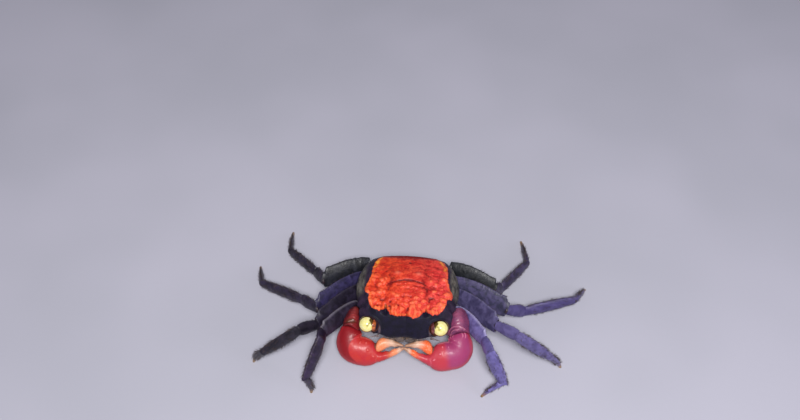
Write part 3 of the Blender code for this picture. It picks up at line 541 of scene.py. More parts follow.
def skin(name, rings, side=1, marks=None):
    """A closed surface through rings of points, whose marks become attributes."""
    count, sides = rings.shape[:2]
    hubs = np.stack((rings[0].mean(axis=0), rings[-1].mean(axis=0)))
    points = place(np.concatenate((rings.reshape(-1, 3), hubs)), side)
    kept = {}
    for key, values in (marks or {}).items():
        values = np.broadcast_to(values, (count, sides))
        kept[key] = np.concatenate((values.ravel(), (values[0].mean(), values[-1].mean())))
    obj = mesh_object(name, points, ring_faces(count, sides), kept)
    face_outward(obj)
    return obj


def face_outward(obj):
    bm = bmesh.new()
    bm.from_mesh(obj.data)
    bmesh.ops.recalc_face_normals(bm, faces=bm.faces)
    bm.to_mesh(obj.data)
    bm.free()


def dress(obj, material, slot, *nodes):
    """Gives a piece its material and its place in the frame."""
    obj.data.materials.clear()
    obj.data.materials.append(material)
    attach(obj, BODY)
    if nodes:
        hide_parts(*nodes)


def boolean(obj, other, operation="DIFFERENCE"):
    """Cuts other out of a piece, or joins it on, and removes it."""
    modifier = obj.modifiers.new(operation.lower(), "BOOLEAN")
    modifier.operation = operation
    modifier.object = other
    modifier.solver = "EXACT"
    graph = bpy.context.evaluated_depsgraph_get()
    mesh = bpy.data.meshes.new_from_object(obj.evaluated_get(graph))
    obj.modifiers.clear()
    obj.data = mesh
    mesh.shade_smooth()
    bpy.data.objects.remove(other, do_unlink=True)


def join_into(obj, others):
    every = [obj, *others]
    with bpy.context.temp_override(active_object=obj, object=obj, selected_objects=every,
                                   selected_editable_objects=every):
        bpy.ops.object.join()


def linear(colour):
    """A colour for the screen as linear values."""
    screen = np.array(colour) / 255.0
    return np.where(screen <= 0.04045, screen / 12.92, ((screen + 0.055) / 1.055) ** 2.4)


class Shade:
    """Builds the nodes of one material."""

    def __init__(self, name, roughness=0.5, coat=0.0, coat_roughness=0.2, glow=0.0, shine=0.5):
        self.material = bpy.data.materials.new(name)
        self.material.use_nodes = True
        self.tree = self.material.node_tree
        self.shader = self.tree.nodes["Principled BSDF"]
        for key, value in {
            "Roughness": roughness, "Coat Weight": coat, "Coat Roughness": coat_roughness,
            "Specular IOR Level": shine, "Subsurface Weight": glow,
            "Subsurface Scale": 0.6 * MM, "Subsurface Radius": (1.0, 0.35, 0.2),
        }.items():
            self.shader.inputs[key].default_value = value
        self.where = self.tree.nodes.new("ShaderNodeTexCoord").outputs["Object"]

    def node(self, kind, inputs, **settings):
        """A node with its settings, and its inputs given as links, colours or values."""
        node = self.tree.nodes.new("ShaderNode" + kind)
        for key, value in settings.items():
            setattr(node, key, value)
        for key, value in inputs.items():
            self.put(value, node.inputs[key])
        return node

    def put(self, value, socket):
        if isinstance(value, bpy.types.NodeSocket):
            self.tree.links.new(value, socket)
        elif socket.type == "RGBA":
            colour = value if isinstance(value, np.ndarray) else linear(value)
            socket.default_value = (*colour, 1.0)
        else:
            socket.default_value = value

    def mark(self, name):
        return self.node("Attribute", {}, attribute_name=name).outputs["Fac"]

    def noise(self, size, detail=2.0, rough=0.5, twist=0.0, where=None):
        return self.node("TexNoise", {
            "Vector": where or self.where, "Scale": 1.0 / (size * MM), "Detail": detail,
            "Roughness": rough, "Distortion": twist,
        }).outputs["Fac"]

    def cells(self, size):
        inputs = {"Vector": self.where, "Scale": 1.0 / (size * MM)}
        return self.node("TexVoronoi", inputs).outputs["Distance"]

    def across(self):
        """Places from the crab's right to its left, in metres."""
        return self.node("SeparateXYZ", {"Vector": self.where}).outputs[0]

    def stretched(self, *scale):
        """Places stretched along the axes, for grain that runs one way."""
        return self.node("Mapping", {"Vector": self.where, "Scale": scale}).outputs["Vector"]

    def maths(self, operation, first, second):
        return self.node("Math", {0: first, 1: second}, operation=operation).outputs[0]

    def between(self, value, low, high, start=0.0, end=1.0):
        """value's smooth way from low to high, as start to end."""
        return self.node("MapRange", {
            "Value": value, "From Min": low, "From Max": high, "To Min": start, "To Max": end,
        }, interpolation_type="SMOOTHSTEP").outputs["Result"]

    def mix(self, share, first, second):
        return self.node("Mix", {0: share, 6: first, 7: second}, data_type="RGBA").outputs[2]

    def blend(self, value, low, high, first, second):
        """The first colour where value is low, and the second where it is high."""
        return self.mix(self.between(value, low, high), first, second)

    def paint(self, colour, *layers):
        """Lays colours over the first, each up to a share as its value goes from low to high."""
        for value, low, high, share, over in layers:
            colour = self.mix(self.between(value, low, high, 0.0, share), colour, over)
        return colour

    def wavy(self, value, by, amount):
        """value with its edges moved to and fro by some noise."""
        offset = self.maths("MULTIPLY", self.maths("SUBTRACT", by, 0.5), amount)
        return self.maths("ADD", value, offset)

    def pimples(self, fine, cell, pull, rough=0.5):
        """Fine noise with small round grains."""
        grain = self.maths("MULTIPLY", self.cells(cell), pull)
        return self.maths("ADD", self.noise(fine, 3.0, rough), grain)

    def finish(self, colour, height, depth, rough=None):
        """The material, with a surface that rises by depth millimetres where height is 1."""
        bump = self.node("Bump", {"Strength": 1.0, "Distance": depth * MM, "Height": height})
        self.put(bump.outputs["Normal"], self.shader.inputs["Normal"])
        self.put(colour, self.shader.inputs["Base Color"])
        if rough:
            self.put(rough, self.shader.inputs["Roughness"])
        return self.material


# Materials.

def shell_material():
    """Moist red-orange on the back, navy in front and grey-brown on the walls."""
    s = Shade("shell", 0.45, coat=0.03, coat_roughness=0.3, glow=0.05, shine=0.22)
    painted_relief_light, front = s.mark("relief"), s.mark("front")
    blotch, fine = s.noise(1.1, 3.0, 0.6, 0.6), s.noise(0.22, 3.0, 0.65)
    speck = s.noise(0.45, 3.0, 0.7, 0.8)
    orange = s.blend(blotch, 0.35, 0.65, (190, 42, 26), (220, 74, 40))
    pink = s.blend(blotch, 0.35, 0.65, (188, 40, 42), (218, 68, 64))
    # The red turns pink toward the crab's left: a painted lilac glare tint on that side.
    warm = s.paint(
        s.blend(s.across(), -6.0 * MM, 6.0 * MM, orange, pink),
        (speck, 0.47, 0.3, 0.65, (150, 24, 20)),
        # Painted highlight on raised relief, and painted shade in its grooves and pits.
        (painted_relief_light, 0.2, 0.9, 0.75, (236, 106, 68)),
        (painted_relief_light, -0.15, -0.8, 0.95, (106, 12, 16)),
        # The bright specks here and in the next row are painted highlights.
        (speck, 0.62, 0.8, 0.55, (236, 122, 84)),
        (fine, 0.62, 0.78, 0.6, (250, 158, 104)),
    )
    warm = s.mix(s.mark("pale"), warm, (226, 122, 98))
    warm = s.blend(s.mark("glint"), 0.0, 1.0, warm, (248, 160, 56))
    warm = s.mix(s.mark("hem"), warm, (116, 14, 14))
    navy = s.blend(s.noise(0.9, 3.0), 0.35, 0.7, (9, 6, 23), (17, 12, 36))
    dark = s.blend(s.noise(1.3, 3.0), 0.3, 0.7, (24, 16, 34), (50, 36, 56))
    dark = s.mix(front, dark, navy)
    # Pale streaks at the orbits' inner angles are a painted highlight.
    dark = s.paint(dark, (s.mark("brow_highlight"), 0.3, 1.0, 0.45, (120, 100, 104)))
    grain = s.noise(0.7, 4.0, 0.65, where=s.stretched(1.0, 0.45, 1.0))
    grey = s.blend(grain, 0.35, 0.65, (48, 45, 44), (106, 101, 92))
    # A painted highlight on the walls' raised ridges.
    grey = s.paint(grey, (painted_relief_light, 0.15, 0.7, 0.6, (158, 152, 142)))
    ragged = s.wavy(s.mark("red"), s.noise(0.5, 3.0), 0.55)
    body = s.blend(ragged, 0.42, 0.58, s.mix(s.mark("wall"), dark, grey), warm)
    dull_front = s.maths("MULTIPLY", front, 0.7)
    rough = s.maths("MAXIMUM", s.between(fine, 0.3, 0.8, 0.38, 0.64), dull_front)
    body = s.mix(s.mark("socket"), body, (84, 48, 34))
    return s.finish(body, s.pimples(0.13, 0.17, -0.6, 0.6), 0.024, rough)


def limb_material(name, dark, light, edge, rim, highlight_from):
    """A leg's shell: darker and lighter blotches, a painted highlight on its upper edge, fleshy
    joints.
    """
    s = Shade(name, 0.42, coat=0.06, coat_roughness=0.35, shine=0.3)
    blotch, fine = s.noise(1.4, 4.0, 0.6, 0.4), s.noise(0.28, 4.0, 0.65)
    colour = s.paint(
        s.blend(blotch, 0.36, 0.64, dark, light),
        # The crest's pale edge colour is a painted highlight along the upper edge.
        (s.mark("crest"), highlight_from, 1.0, rim, edge),
        (fine, 0.58, 0.78, 0.14, edge),
        (s.mark("grain"), 0.35, 0.9, 0.08, edge),
        (fine, 0.42, 0.28, 0.5, linear(dark) * 0.35),
    )
    colour = s.mix(s.mark("joint"), colour, JOINT_SKIN)
    rough = s.between(fine, 0.3, 0.75, 0.32, 0.6)
    return s.finish(colour, s.pimples(0.12, 0.16, -0.5), 0.03, rough)


def toe_material(name, dark, light):
    """Like the leg at its base, horn-brown toward the tip."""
    s = Shade(name, 0.4, coat=0.2, coat_roughness=0.25)
    wavy = s.wavy(s.mark("along"), s.noise(0.6, 3.0), 0.25)
    colour = s.blend(s.noise(0.7, 3.0), 0.36, 0.64, dark, light)
    horn = s.blend(s.noise(0.4, 3.0), 0.35, 0.65, (128, 92, 52), (168, 132, 80))
    colour = s.blend(wavy, 0.55, 0.9, colour, horn)
    colour = s.blend(wavy, 0.94, 1.0, colour, (60, 40, 22))
    colour = s.mix(s.mark("joint"), colour, JOINT_SKIN)
    return s.finish(colour, s.noise(0.12, 3.0), 0.02)


def claw_material(name, main, deep, light, tip, sheen):
    """A moist claw: painted shade on the palm's root, a lighter lower edge, pale fingers and
    painted highlights.
    """
    s = Shade(name, 0.4, coat=0.08, coat_roughness=0.2, glow=0.06, shine=0.35)
    along = s.mark("along")
    blotch, fine = s.noise(1.6, 3.0, 0.6, 0.5), s.noise(0.25, 3.0, 0.6)
    colour = s.blend(blotch, 0.35, 0.65, main, light)
    # Where the oval mark is high, the deep colour is painted shade on the palm's root.
    colour = s.blend(s.mark("oval"), 0.3, 0.7, colour, deep)
    colour = s.paint(colour, (s.mark("low"), 0.2, 0.9, 0.75, light),
                     # The sheen along the crest and keel is a painted highlight.
                     (s.mark("crest"), 0.4, 0.95, 0.6, sheen))
    cream = s.blend(along, 0.94, 0.98, tip, (204, 166, 142))
    finger = s.paint(cream, (fine, 0.45, 0.75, 0.5, (222, 176, 146)))
    wavy = s.wavy(along, blotch, 0.08)
    colour = s.paint(
        s.blend(wavy, 0.84, 0.93, colour, finger),
        (wavy, 0.975, 1.01, 0.7, (140, 92, 62)),
        # The sheen on the ridges, lines, tubercles and granules is a painted highlight.
        (s.mark("line"), 0.3, 0.9, 0.6, sheen),
        (s.mark("grain"), 0.5, 0.95, 0.35, sheen),
    )
    colour = s.mix(s.mark("joint"), colour, (112, 72, 60))
    rough = s.between(fine, 0.3, 0.75, 0.36, 0.56)
    return s.finish(colour, s.pimples(0.14, 0.2, -0.4), 0.022, rough)


def arm_material(name, main, deep, light):
    """The claw's arm: a brown slit at one wrist, where the mark says, and ridges at the other. The
    slit's brown surround is painted shade and its pale middle a painted highlight, and the light
    colour on the crest, granules and ridges is a painted highlight.
    """
    s = Shade(name, 0.42, coat=0.06, coat_roughness=0.22, glow=0.04, shine=0.35)
    blotch, fine, slit = s.noise(1.2, 3.0, 0.6, 0.5), s.noise(0.25, 3.0, 0.6), s.mark("slit")
    colour = s.paint(
        s.blend(blotch, 0.35, 0.65, main, deep),
        # The light colour on the crest, granules and ridges is a painted highlight.
        (s.mark("crest"), 0.5, 1.0, 0.3, light),
        (s.mark("grain"), 0.4, 0.9, 0.3, light),
        (fine, 0.6, 0.8, 0.35, light),
        (s.mark("line"), 0.3, 0.9, 0.6, light),
        # Round the slit the brown is painted shade, and its pale middle a painted highlight.
        (slit, 0.2, 0.5, 0.8, (84, 44, 30)),
        (slit, 0.8, 0.95, 0.8, (186, 150, 140)),
    )
    colour = s.mix(s.mark("joint"), colour, (112, 78, 72))
    rough = s.between(fine, 0.3, 0.75, 0.24, 0.45)
    return s.finish(colour, s.pimples(0.14, 0.2, -0.4), 0.022, rough)


def eye_material():
    """A pale yellow ball with a faint ring and spot, a dark bite and a dark rim."""
    s = Shade("eye", 0.2, coat=0.35, coat_roughness=0.06, glow=0.06, shine=0.4)
    colour = s.paint(
        s.blend(s.noise(0.5, 3.0, 0.6), 0.35, 0.7, (222, 210, 126), (228, 221, 162)),
        (s.mark("ring"), 0.3, 1.0, 0.3, (196, 184, 88)),
        (s.mark("pupil"), 0.1, 0.9, 0.8, (142, 134, 52)),
        (s.mark("bite"), 0.2, 0.8, 1.0, (78, 58, 16)),
        (s.mark("rim"), 0.3, 0.8, 1.0, (46, 24, 14)),
    )
    return s.finish(colour, s.cells(0.07), 0.004)


def stalk_material(name, dark, light):
    s = Shade(name, 0.35, coat=0.3, coat_roughness=0.2, glow=0.08)
    colour = s.paint(
        s.blend(s.noise(0.5, 3.0, 0.6), 0.35, 0.65, dark, light),
        (s.mark("rim"), 0.3, 0.9, 0.6, (60, 34, 16)),
        (s.noise(0.2, 3.0, 0.6), 0.6, 0.8, 0.5, (226, 150, 100)),
    )
    return s.finish(colour, s.noise(0.14, 3.0), 0.02)


def belly_material(name, dark, light, groove):
    """Satin plates with darker seams."""
    s = Shade(name, 0.5, coat=0.15, coat_roughness=0.3)
    blotch, fine = s.noise(1.0, 4.0, 0.6, 0.5), s.noise(0.25, 4.0, 0.6)
    colour = s.paint(
        s.blend(blotch, 0.35, 0.65, dark, light),
        (fine, 0.58, 0.78, 0.5, clamp(linear(light) * 1.7)),
        (s.mark("seam"), 0.2, 0.8, 1.0, groove),
    )
    rough = s.between(fine, 0.3, 0.75, 0.4, 0.62)
    return s.finish(colour, s.pimples(0.14, 0.18, -0.4), 0.02, rough)


def bristle_material():
    s = Shade("bristle", 0.55)
    colour = s.blend(s.noise(0.8, 2.0), 0.35, 0.65, (30, 22, 26), (66, 50, 48))
    colour = s.paint(colour, (s.mark("along"), 0.5, 1.0, 0.5, (112, 92, 78)))
    s.put(colour, s.shader.inputs["Base Color"])
    return s.material


# Shell.

MIRROR = np.array((-1, 1, 1, -1, 1, 1, 1, 1, 1))


def half_columns(finer):
    """Rim, foot and edge values at each column of the left half, front to rear."""
    rows = np.array([[*m.rim, *m.foot, m.edge, m.reach, m.wall] for m in LANDMARKS])
    padded = np.concatenate((rows[1:2] * MIRROR, rows, rows[-2:-1] * MIRROR))

    def step(a, b):
        return np.linalg.norm(b[:3] - a[:3])

    def slope(i, ahead):
        a, b, c = padded[i - 1:i + 2]
        if LANDMARKS[i - 1].sharp:
            return (c - b) / step(b, c) if ahead else (b - a) / step(a, b)
        return (c - a) / (step(a, b) + step(b, c))

    columns = []
    for i in range(1, len(rows)):
        a, b = padded[i:i + 2]
        span, count = step(a, b), LANDMARKS[i - 1].columns * finer
        starting, ending = slope(i, True) * span, slope(i + 1, False) * span
        columns += [curve_between(t, a, starting, b, ending) for t in np.arange(count) / count]
    return np.array(columns + [rows[-1]])


def dome_height(x, y):
    side = SIDE_FALL * (np.abs(x) / HALF_WIDTH) ** 2.6
    front = FRONT_FALL * (y / 6.2) ** 2
    rear = REAR_FALL * (y / HALF_LENGTH) ** 2
    return APEX_Z - side - np.where(y < 0, front, rear)


def off_groove_across(x, y, groove):
    """How far ahead of a groove across the back each point lies."""
    return y - groove.y + groove.turn * x * x


def relief(x, y):
    """Grooves and swellings that part the back into its regions."""
    height = np.zeros_like(x)
    for s in SWELLINGS:
        height += s.rise * bell(np.abs(x) - s.x, s.wide) * bell(y - s.y, s.long)
    for g in (ARC_GROOVE, REAR_GROOVE):
        height -= g.depth * bell(off_groove_across(x, y, g), g.line) * bell(x, g.half)
    for g in GROOVES_ALONG:
        line = np.abs(x) - g.x - g.turn * (y - g.y)
        height -= g.depth * bell(line, g.line) * bell(y - g.y, g.half)
    return height


def back_detail(points, onred):
    """Finer relief of the back: ripples before the middle, a line in the curved groove, cross
    ridges behind, then lumps, granules and a fringe that are strong on the red patch, and pits."""
    x, y = points[..., 0], points[..., 1]
    lens = np.hypot((x - 0.5) / 2.2, (y + 1.5) / 0.85)
    rings_round = np.cos(math.tau * (lens + 0.25 * lumps(points, 1.0, 31.0, 2)) * 1.15)
    height = RIPPLE_RISE * rings_round * bell(lens, 1.5)
    arc, off_arc = off_groove_across(x, y, ARC_GROOVE), x - ARC_LINE["x"]
    height -= ARC_LINE["depth"] * bell(arc, ARC_LINE["wide"]) * bell(off_arc, ARC_LINE["half"])
    height += 0.03 * bell(arc - 0.42, 0.2) * bell(off_arc, 2.4)
    ahead = bell(arc + 0.9, 1.0) * bell(x, 2.6)
    height += 0.22 * grains(points * (1.0, 1.5, 1.0), 0.8, 41.0) * ahead
    wander = lumps(points, 2.2, 3.0, 2)
    streaks = np.sin(math.tau * (y + 0.02 * x * x + 0.6 * wander) / 1.15)
    broken = 0.4 + 0.6 * clamp(lumps(points * (0.5, 1.0, 1.0), 1.4, 21.0, 2) + 0.5)
    height += 0.02 * streaks * broken * band(y, 1.8, 3.4, 5.4, 6.0)
    front = 1.0 - ease(y, -3.2, -0.6)
    lumpy = np.maximum(ease(np.abs(x), 2.6, 4.2) * (1.0 - ease(y, 2.0, 4.5)), front)
    height += LUMP_RISE * grains(points * (1.0, 1.25, 1.0), 1.05, 7.0) * lumpy * onred
    height += 0.09 * lumps(points, 0.8, 7.0, 3) * (0.2 + lumpy) * (0.1 + 0.9 * onred)
    height += 0.06 * grains(points, 0.45, 11.0) * (0.12 + front) * (0.05 + 0.95 * onred)
    height += 0.035 * lumps(points, 0.3, 5.0, 2) * (0.15 + 0.85 * onred)
    fringe = np.cos(math.tau * (x + 0.3 * wander) / 0.72) * ease(-y, 3.4, 4.8)
    height += FRINGE_RISE * fringe * onred
    for px, py in PITS:
        height -= PIT_DEPTH * bell(np.hypot(x - px, y - py), PIT_WIDTH)
    return height


def wall_detail(points):
    """The walls: oblique ridges behind, and rows of granules on the cheeks."""
    x, y, z = np.moveaxis(points, -1, 0)
    rear = ease(y, -3.0, -0.5)
    slant = np.sin(math.tau * (z * 0.8 + y * 0.42) / 0.85)
    cheek = (1.0 - rear) * ease(np.abs(x), 2.2, 3.5)
    rows = np.cos(math.tau * z / 0.42) * np.cos(math.tau * (np.abs(x) + y) / 0.42)
    height = 0.05 * np.clip(slant, -0.3, 1.0) * rear + 0.03 * rows * cheek
    return height + 0.03 * lumps(points, 0.5, 9.0, 3)


def patch_depth(x, y):
    """How far each point lies inside the red patch, in millimetres, and below 0 outside it."""
    outline = np.concatenate((RED_LEFT, (np.array(RED_RIGHT) * (-1, 1))[::-1]))
    here = np.stack((x.ravel(), y.ravel()), axis=-1)
    nearest = np.full(len(here), 9.0)
    inside = np.zeros(len(here), bool)
    for a, b in zip(outline, np.roll(outline, -1, axis=0)):
        edge = b - a
        t = clamp(((here - a) @ edge) / (edge @ edge))
        nearest = np.minimum(nearest, np.linalg.norm(here - a - t[:, None] * edge, axis=1))
        if a[1] != b[1]:
            crosses = (a[1] > here[:, 1]) != (b[1] > here[:, 1])
            at = a[0] + (here[:, 1] - a[1]) / (b[1] - a[1]) * edge[0]
            inside ^= crosses & (here[:, 0] < at)
    return np.where(inside, nearest, -nearest).reshape(x.shape)


def orbit_distance(points):
    """Rough distance of each point outside the nearer orbit, in millimetres."""
    x = points[..., 0]
    mirrored = points.copy()
    mirrored[..., 0] = np.abs(x) + np.where(x > 0, ORBIT_INWARD["l"], ORBIT_INWARD["r"])
    scaled = np.linalg.norm((mirrored - ORBIT) / ORBIT_RADII, axis=-1)
    return (scaled - 1.0) * ORBIT_RADII.mean()


def shell_rings(finer, back_count, wall_count):
    """Rings over the back and down the wall, how far each point is from the rim toward the
    crown as 0 to 1, and how far down the wall."""
    left = half_columns(finer)
    right = left[1:-1][::-1] * MIRROR
    x, y, z, fx, fy, fz, edge, reach, wall = np.concatenate((left, right)).T
    share = (1.0 - np.linspace(0.0, 1.0, back_count) ** 1.35 * 0.985)[::-1][:, None]
    px, py = x * share, CROWN_Y + (y - CROWN_Y) * share
    depth = np.minimum(1.0, (1.0 - share) / reach)
    rise = (1.0 - (1.0 - depth) ** edge) ** (1.0 / edge)
    pz = z + (dome_height(px, py) - z) * rise + relief(px, py) * depth
    drop = (np.arange(1, wall_count + 1) / wall_count)[:, None]
    inward = drop ** wall
    sides = np.stack((x + (fx - x) * inward, y + (fy - y) * inward, z + (fz - z) * drop), axis=-1)
    flat = np.zeros((wall_count, len(x)))
    rings = np.concatenate((np.stack((px, py, pz), axis=-1), sides))
    return rings, np.concatenate((depth, flat)), np.concatenate((0.0 * px, drop + flat))


def shell_normals(rings, back_count):
    """Directions out of the shell, straight up about its crown."""
    normals = grid_normals(rings)
    normals[:back_count // 3] = UP
    return normals


def shell_marks(rings, inside, fade, fine):
    """The places of the shell's colours."""
    x, y, z = np.moveaxis(rings, -1, 0)
    wide = np.abs(x)
    corner = band(y, 2.4, 3.6, 6.0, 6.6) * ease(wide, 4.2, 5.0)
    patchy = clamp(0.55 + 1.1 * lumps(rings, 0.7, 31.0, 2))
    # A broken painted highlight along the red patch's rear corners.
    corner_glint = 0.95 * bell(inside - 0.35, 0.4) * patchy * corner
    hind_sides = ease(wide, 6.7, 7.5) * ease(y, -2.6, -0.8)
    return {
        "red": clamp(0.5 + inside / 0.7) * ease(z, 7.6, 8.4),
        # relief sets where highlight and shade are painted: light on raised places, dark in
        # hollows.
        "relief": np.clip((relief(x, y) * fade * 0.9 + (fine - 0.06) * 2.6) / 0.5, -1.0, 1.0),
        "hem": ease(y, 5.85, 6.1) * (1.0 - ease(wide, 4.0, 5.4)),
        "glint": np.maximum(0.25 * bell(inside - 0.22, 0.22), corner_glint),
        # Pale streaks at the orbits' inner angles, for a painted highlight.
        "brow_highlight": bell(np.hypot((wide - 4.1) / 0.3, (y + 7.3) / 0.5), 1.0),
        "front": ease(-y, 3.4, 4.6) * (1.0 - ease(wide, 5.4, 6.6)),
        "wall": np.maximum(hind_sides, (1.0 - ease(z, 6.2, 7.4)) * 0.85),
        "pale": 0.6 * bell(np.hypot(wide - 1.75, (y - 1.9) / 0.7), 0.45),
        "socket": 0.0,
    }


def build_shell():
    rings, fade, drop = shell_rings(*SHELL_GRID)
    normals = shell_normals(rings, SHELL_GRID[1])
    onback = np.where(drop > 0.0, 0.25 * (1.0 - drop) ** 4, 0.25 + 0.75 * fade)
    inside = patch_depth(rings[..., 0], rings[..., 1])
    fine = back_detail(rings, ease(inside, -0.35, 0.25)) * onback
    fine += wall_detail(rings) * (1.0 - onback) * ease(1.0 - drop, 0.0, 0.15)
    lip = bell(orbit_distance(rings) - 0.18, 0.16)
    fine += ORBIT_LIP * lip * (1.0 + 0.5 * grains(rings, 0.3, 2.0))
    rings = rings + normals * fine[..., None]
    shell = skin("shell", rings, 1, shell_marks(rings, inside, fade, fine))
    for letter in SIDES:
        boolean(shell, orbit_ball(letter))
    mark_sockets(shell)
    dress(shell, shell_material(), "carapace", "carapace")


def shell_cutter():
    """The shell a little larger, to clear the pieces beneath it."""
    rings = shell_rings(*SHELL_CUTTER_GRID)[0]
    normals = shell_normals(rings, SHELL_CUTTER_GRID[1])
    return skin("shell_cutter", rings + normals * CUTTER_GAP)


def orbit_ball(letter):
    bm = bmesh.new()
    turns, rows = ORBIT_TURNS
    bmesh.ops.create_uvsphere(bm, u_segments=turns, v_segments=rows, radius=1.0)
    points = np.array([vert.co for vert in bm.verts]) * ORBIT_RADII + ORBIT
    points = place(points - LEFTWARD * ORBIT_INWARD[letter], SIDES[letter])
    for vert, point in zip(bm.verts, points):
        vert.co = point
    bmesh.ops.recalc_face_normals(bm, faces=bm.faces)
    mesh = bpy.data.meshes.new("orbit")
    bm.to_mesh(mesh)
    bm.free()
    return linked("orbit", mesh)


def mark_sockets(shell):
    """Marks the hollows that hold the eyes, whose faces came from the cutters."""
    mesh = shell.data
    points = np.empty(len(mesh.vertices) * 3)
    mesh.vertices.foreach_get("co", points)
    points = (points.reshape(-1, 3) - SHIFT) / MM
    socket = 1.0 - ease(np.abs(orbit_distance(points)), 0.02, 0.06)
    mesh.attributes["socket"].data.foreach_set("value", socket.astype(np.float32))


# Limbs.

def turned(vector, axis, degrees):
    """vector turned about axis by that many degrees."""
    angle = math.radians(degrees)
    return (
        vector * math.cos(angle) + np.cross(axis, vector) * math.sin(angle)
        + axis * axis.dot(vector) * (1.0 - math.cos(angle))
    )


def direction(heading, rise):
    h, r = math.radians(heading), math.radians(rise)
    return np.array((math.cos(h) * math.cos(r), -math.sin(h) * math.cos(r), math.sin(r)))


def bend(start, control, end, t):
    """Places and directions on the curve from start to end that leans toward control."""
    t = t[:, None]
    middle = start * (1 - t) ** 2 + control * (2 * t * (1 - t)) + end * t ** 2
    return middle, unit((control - start) * (1 - t) + (end - control) * t)


def oval_turns(sides):
    return math.tau * (np.arange(sides) + 0.5) / sides


def ovals(centre, across, up, halves, sides, edge=1.7, belly=2.3):
    """Closed rings: flattened ovals whose halves are upper, lower, outer and inner, and which
    are keener above or below as edge and belly say."""
    upper, lower, front, back = (np.broadcast_to(h, len(centre))[:, None] for h in halves)
    turns = oval_turns(sides)
    c, s = np.cos(turns), np.sin(turns)
    power = 2.0 / np.where(s > 0, edge, belly)
    wide = np.sign(c) * np.abs(c) ** power * np.where(c > 0, front, back)
    high = np.sign(s) * np.abs(s) ** power * np.where(s > 0, upper, lower)
    across, up = (np.broadcast_to(way, centre.shape)[:, None] for way in (across, up))
    return centre[:, None] + across * wide[..., None] + up * high[..., None]


def round_rings(start, end, rows, sides, beside=UP):
    """Round rings along a line, from rows of how far along it and how wide."""
    axis = unit(end - start)
    across = unit(np.cross(axis, beside))
    turns = oval_turns(sides)
    circle = np.cos(turns)[:, None] * across + np.sin(turns)[:, None] * np.cross(across, axis)
    rows = np.asarray(rows)
    return start + rows[:, :1, None] * axis + rows[:, 1:, None] * circle[None]


def limb(start, end, planes, gaps, profile, size, lean, bow, count, sides):
    """Rings along one limb piece, whose ends lie in the planes that it shares with its
    neighbours, each set back by half a gap where there is one. Also the ways that it points."""
    axis = unit(end - start)
    length = np.linalg.norm(end - start)
    upright = turned(unit(UP - axis * axis.dot(UP)), axis, -lean)
    low = gaps[0] / 2 / (axis.dot(planes[0]) * length)
    high = 1.0 - gaps[1] / 2 / (axis.dot(planes[1]) * length)
    share = np.linspace(0.0, 1.0, count)
    control = (start + end) / 2 + upright * bow
    centre, along = bend(start, control, end, low + (high - low) * share)
    up = unit(upright - along * (along @ upright)[:, None])
    upper, lower, side = through(profile, share * profile[-1][0]).T
    tall, thick = size[0] / 2, size[1] / 2
    halves = (upper * tall, lower * tall, side * thick, side * thick)
    rings = ovals(centre, np.cross(along, up), up, halves, sides)
    for plane, away in zip(planes, (share, 1.0 - share)):
        weight = np.clip(1.0 - away * length / (0.5 * length), 0.0, None)
        off = (rings - centre[:, None]) @ plane / (along @ plane)[:, None] * weight[:, None]
        rings = rings - along[:, None] * off[..., None]
    return rings, along


def crusted(rings, crust, seed):
    """Adds serrated edges, cross wrinkles and granules to a limb piece's rings, and marks how
    near its upper edge each point is, and the granules."""
    sine, cosine = (f(oval_turns(rings.shape[1])) for f in (np.sin, np.cos))
    length = np.linalg.norm(rings[-1].mean(axis=0) - rings[0].mean(axis=0))
    along = np.linspace(0.0, length, len(rings))[:, None]
    keen, under = clamp(sine)[None] ** 10, clamp(-sine)[None] ** 10
    teeth = np.abs(np.sin(math.pi * along / crust.apart))
    wander = lumps(rings, 1.2, seed, 2)
    waves = np.sin(math.tau * (along + 0.35 * wander + 0.12 * cosine) / crust.rows)
    grain = grains(rings, 0.34, seed)
    height = crust.tooth * teeth * (keen + 0.5 * under)
    height = height + crust.depth * np.clip(waves, -0.2, 1.0) * (1.0 - keen) * clamp(0.5 + wander)
    height = height + GRANULE_RISE * grain * (0.3 + keen)
    height = height + LIMB_LUMP_RISE * lumps(rings, 0.8, seed + 4.0, 3)
    # The crest mark places the painted highlight along a piece's upper edge.
    marks = {"crest": clamp(sine)[None] ** 4, "grain": grain * (0.2 + 0.8 * keen)}
    return raised(rings, height), marks


def close_ends(rings, ways, marks, lip):
    """Adds the knob in the joint before a piece and, where asked, the lip round its far end."""
    first, last = rings[0], rings[-1]
    near, far = first.mean(axis=0), last.mean(axis=0)
    knob = [near + (first - near) * share - ways[0] * back for back, share in KNOB]
    ends = [far + (last - far) * share + ways[-1] * out for out, share in LIP if lip]
    grown = {}
    for key, values in marks.items():
        values = np.broadcast_to(values, rings.shape[:2])
        rows = (values[:1],) * len(KNOB) + (values,) + (values[-1:],) * len(ends)
        grown[key] = np.concatenate(rows)
    whole = np.array([*knob, *rings, *ends])
    grown["joint"] = np.zeros(whole.shape[:2])
    grown["joint"][:len(KNOB) - 1] = 1.0
    if lip:
        grown["joint"][-2:] = 1.0
    return whole, grown


def limb_piece(node, rings, ways, marks, side, shade, slot, lip=False, clear_of=()):
    """Makes a limb's piece, cut clear of other pieces, in the place of its node."""
    closed, marks = close_ends(rings, ways, marks, lip)
    piece = skin(node + "_shell", closed, side, marks)
    for cutter in clear_of:
        boolean(piece, cutter)
    dress(piece, shade, slot, node)


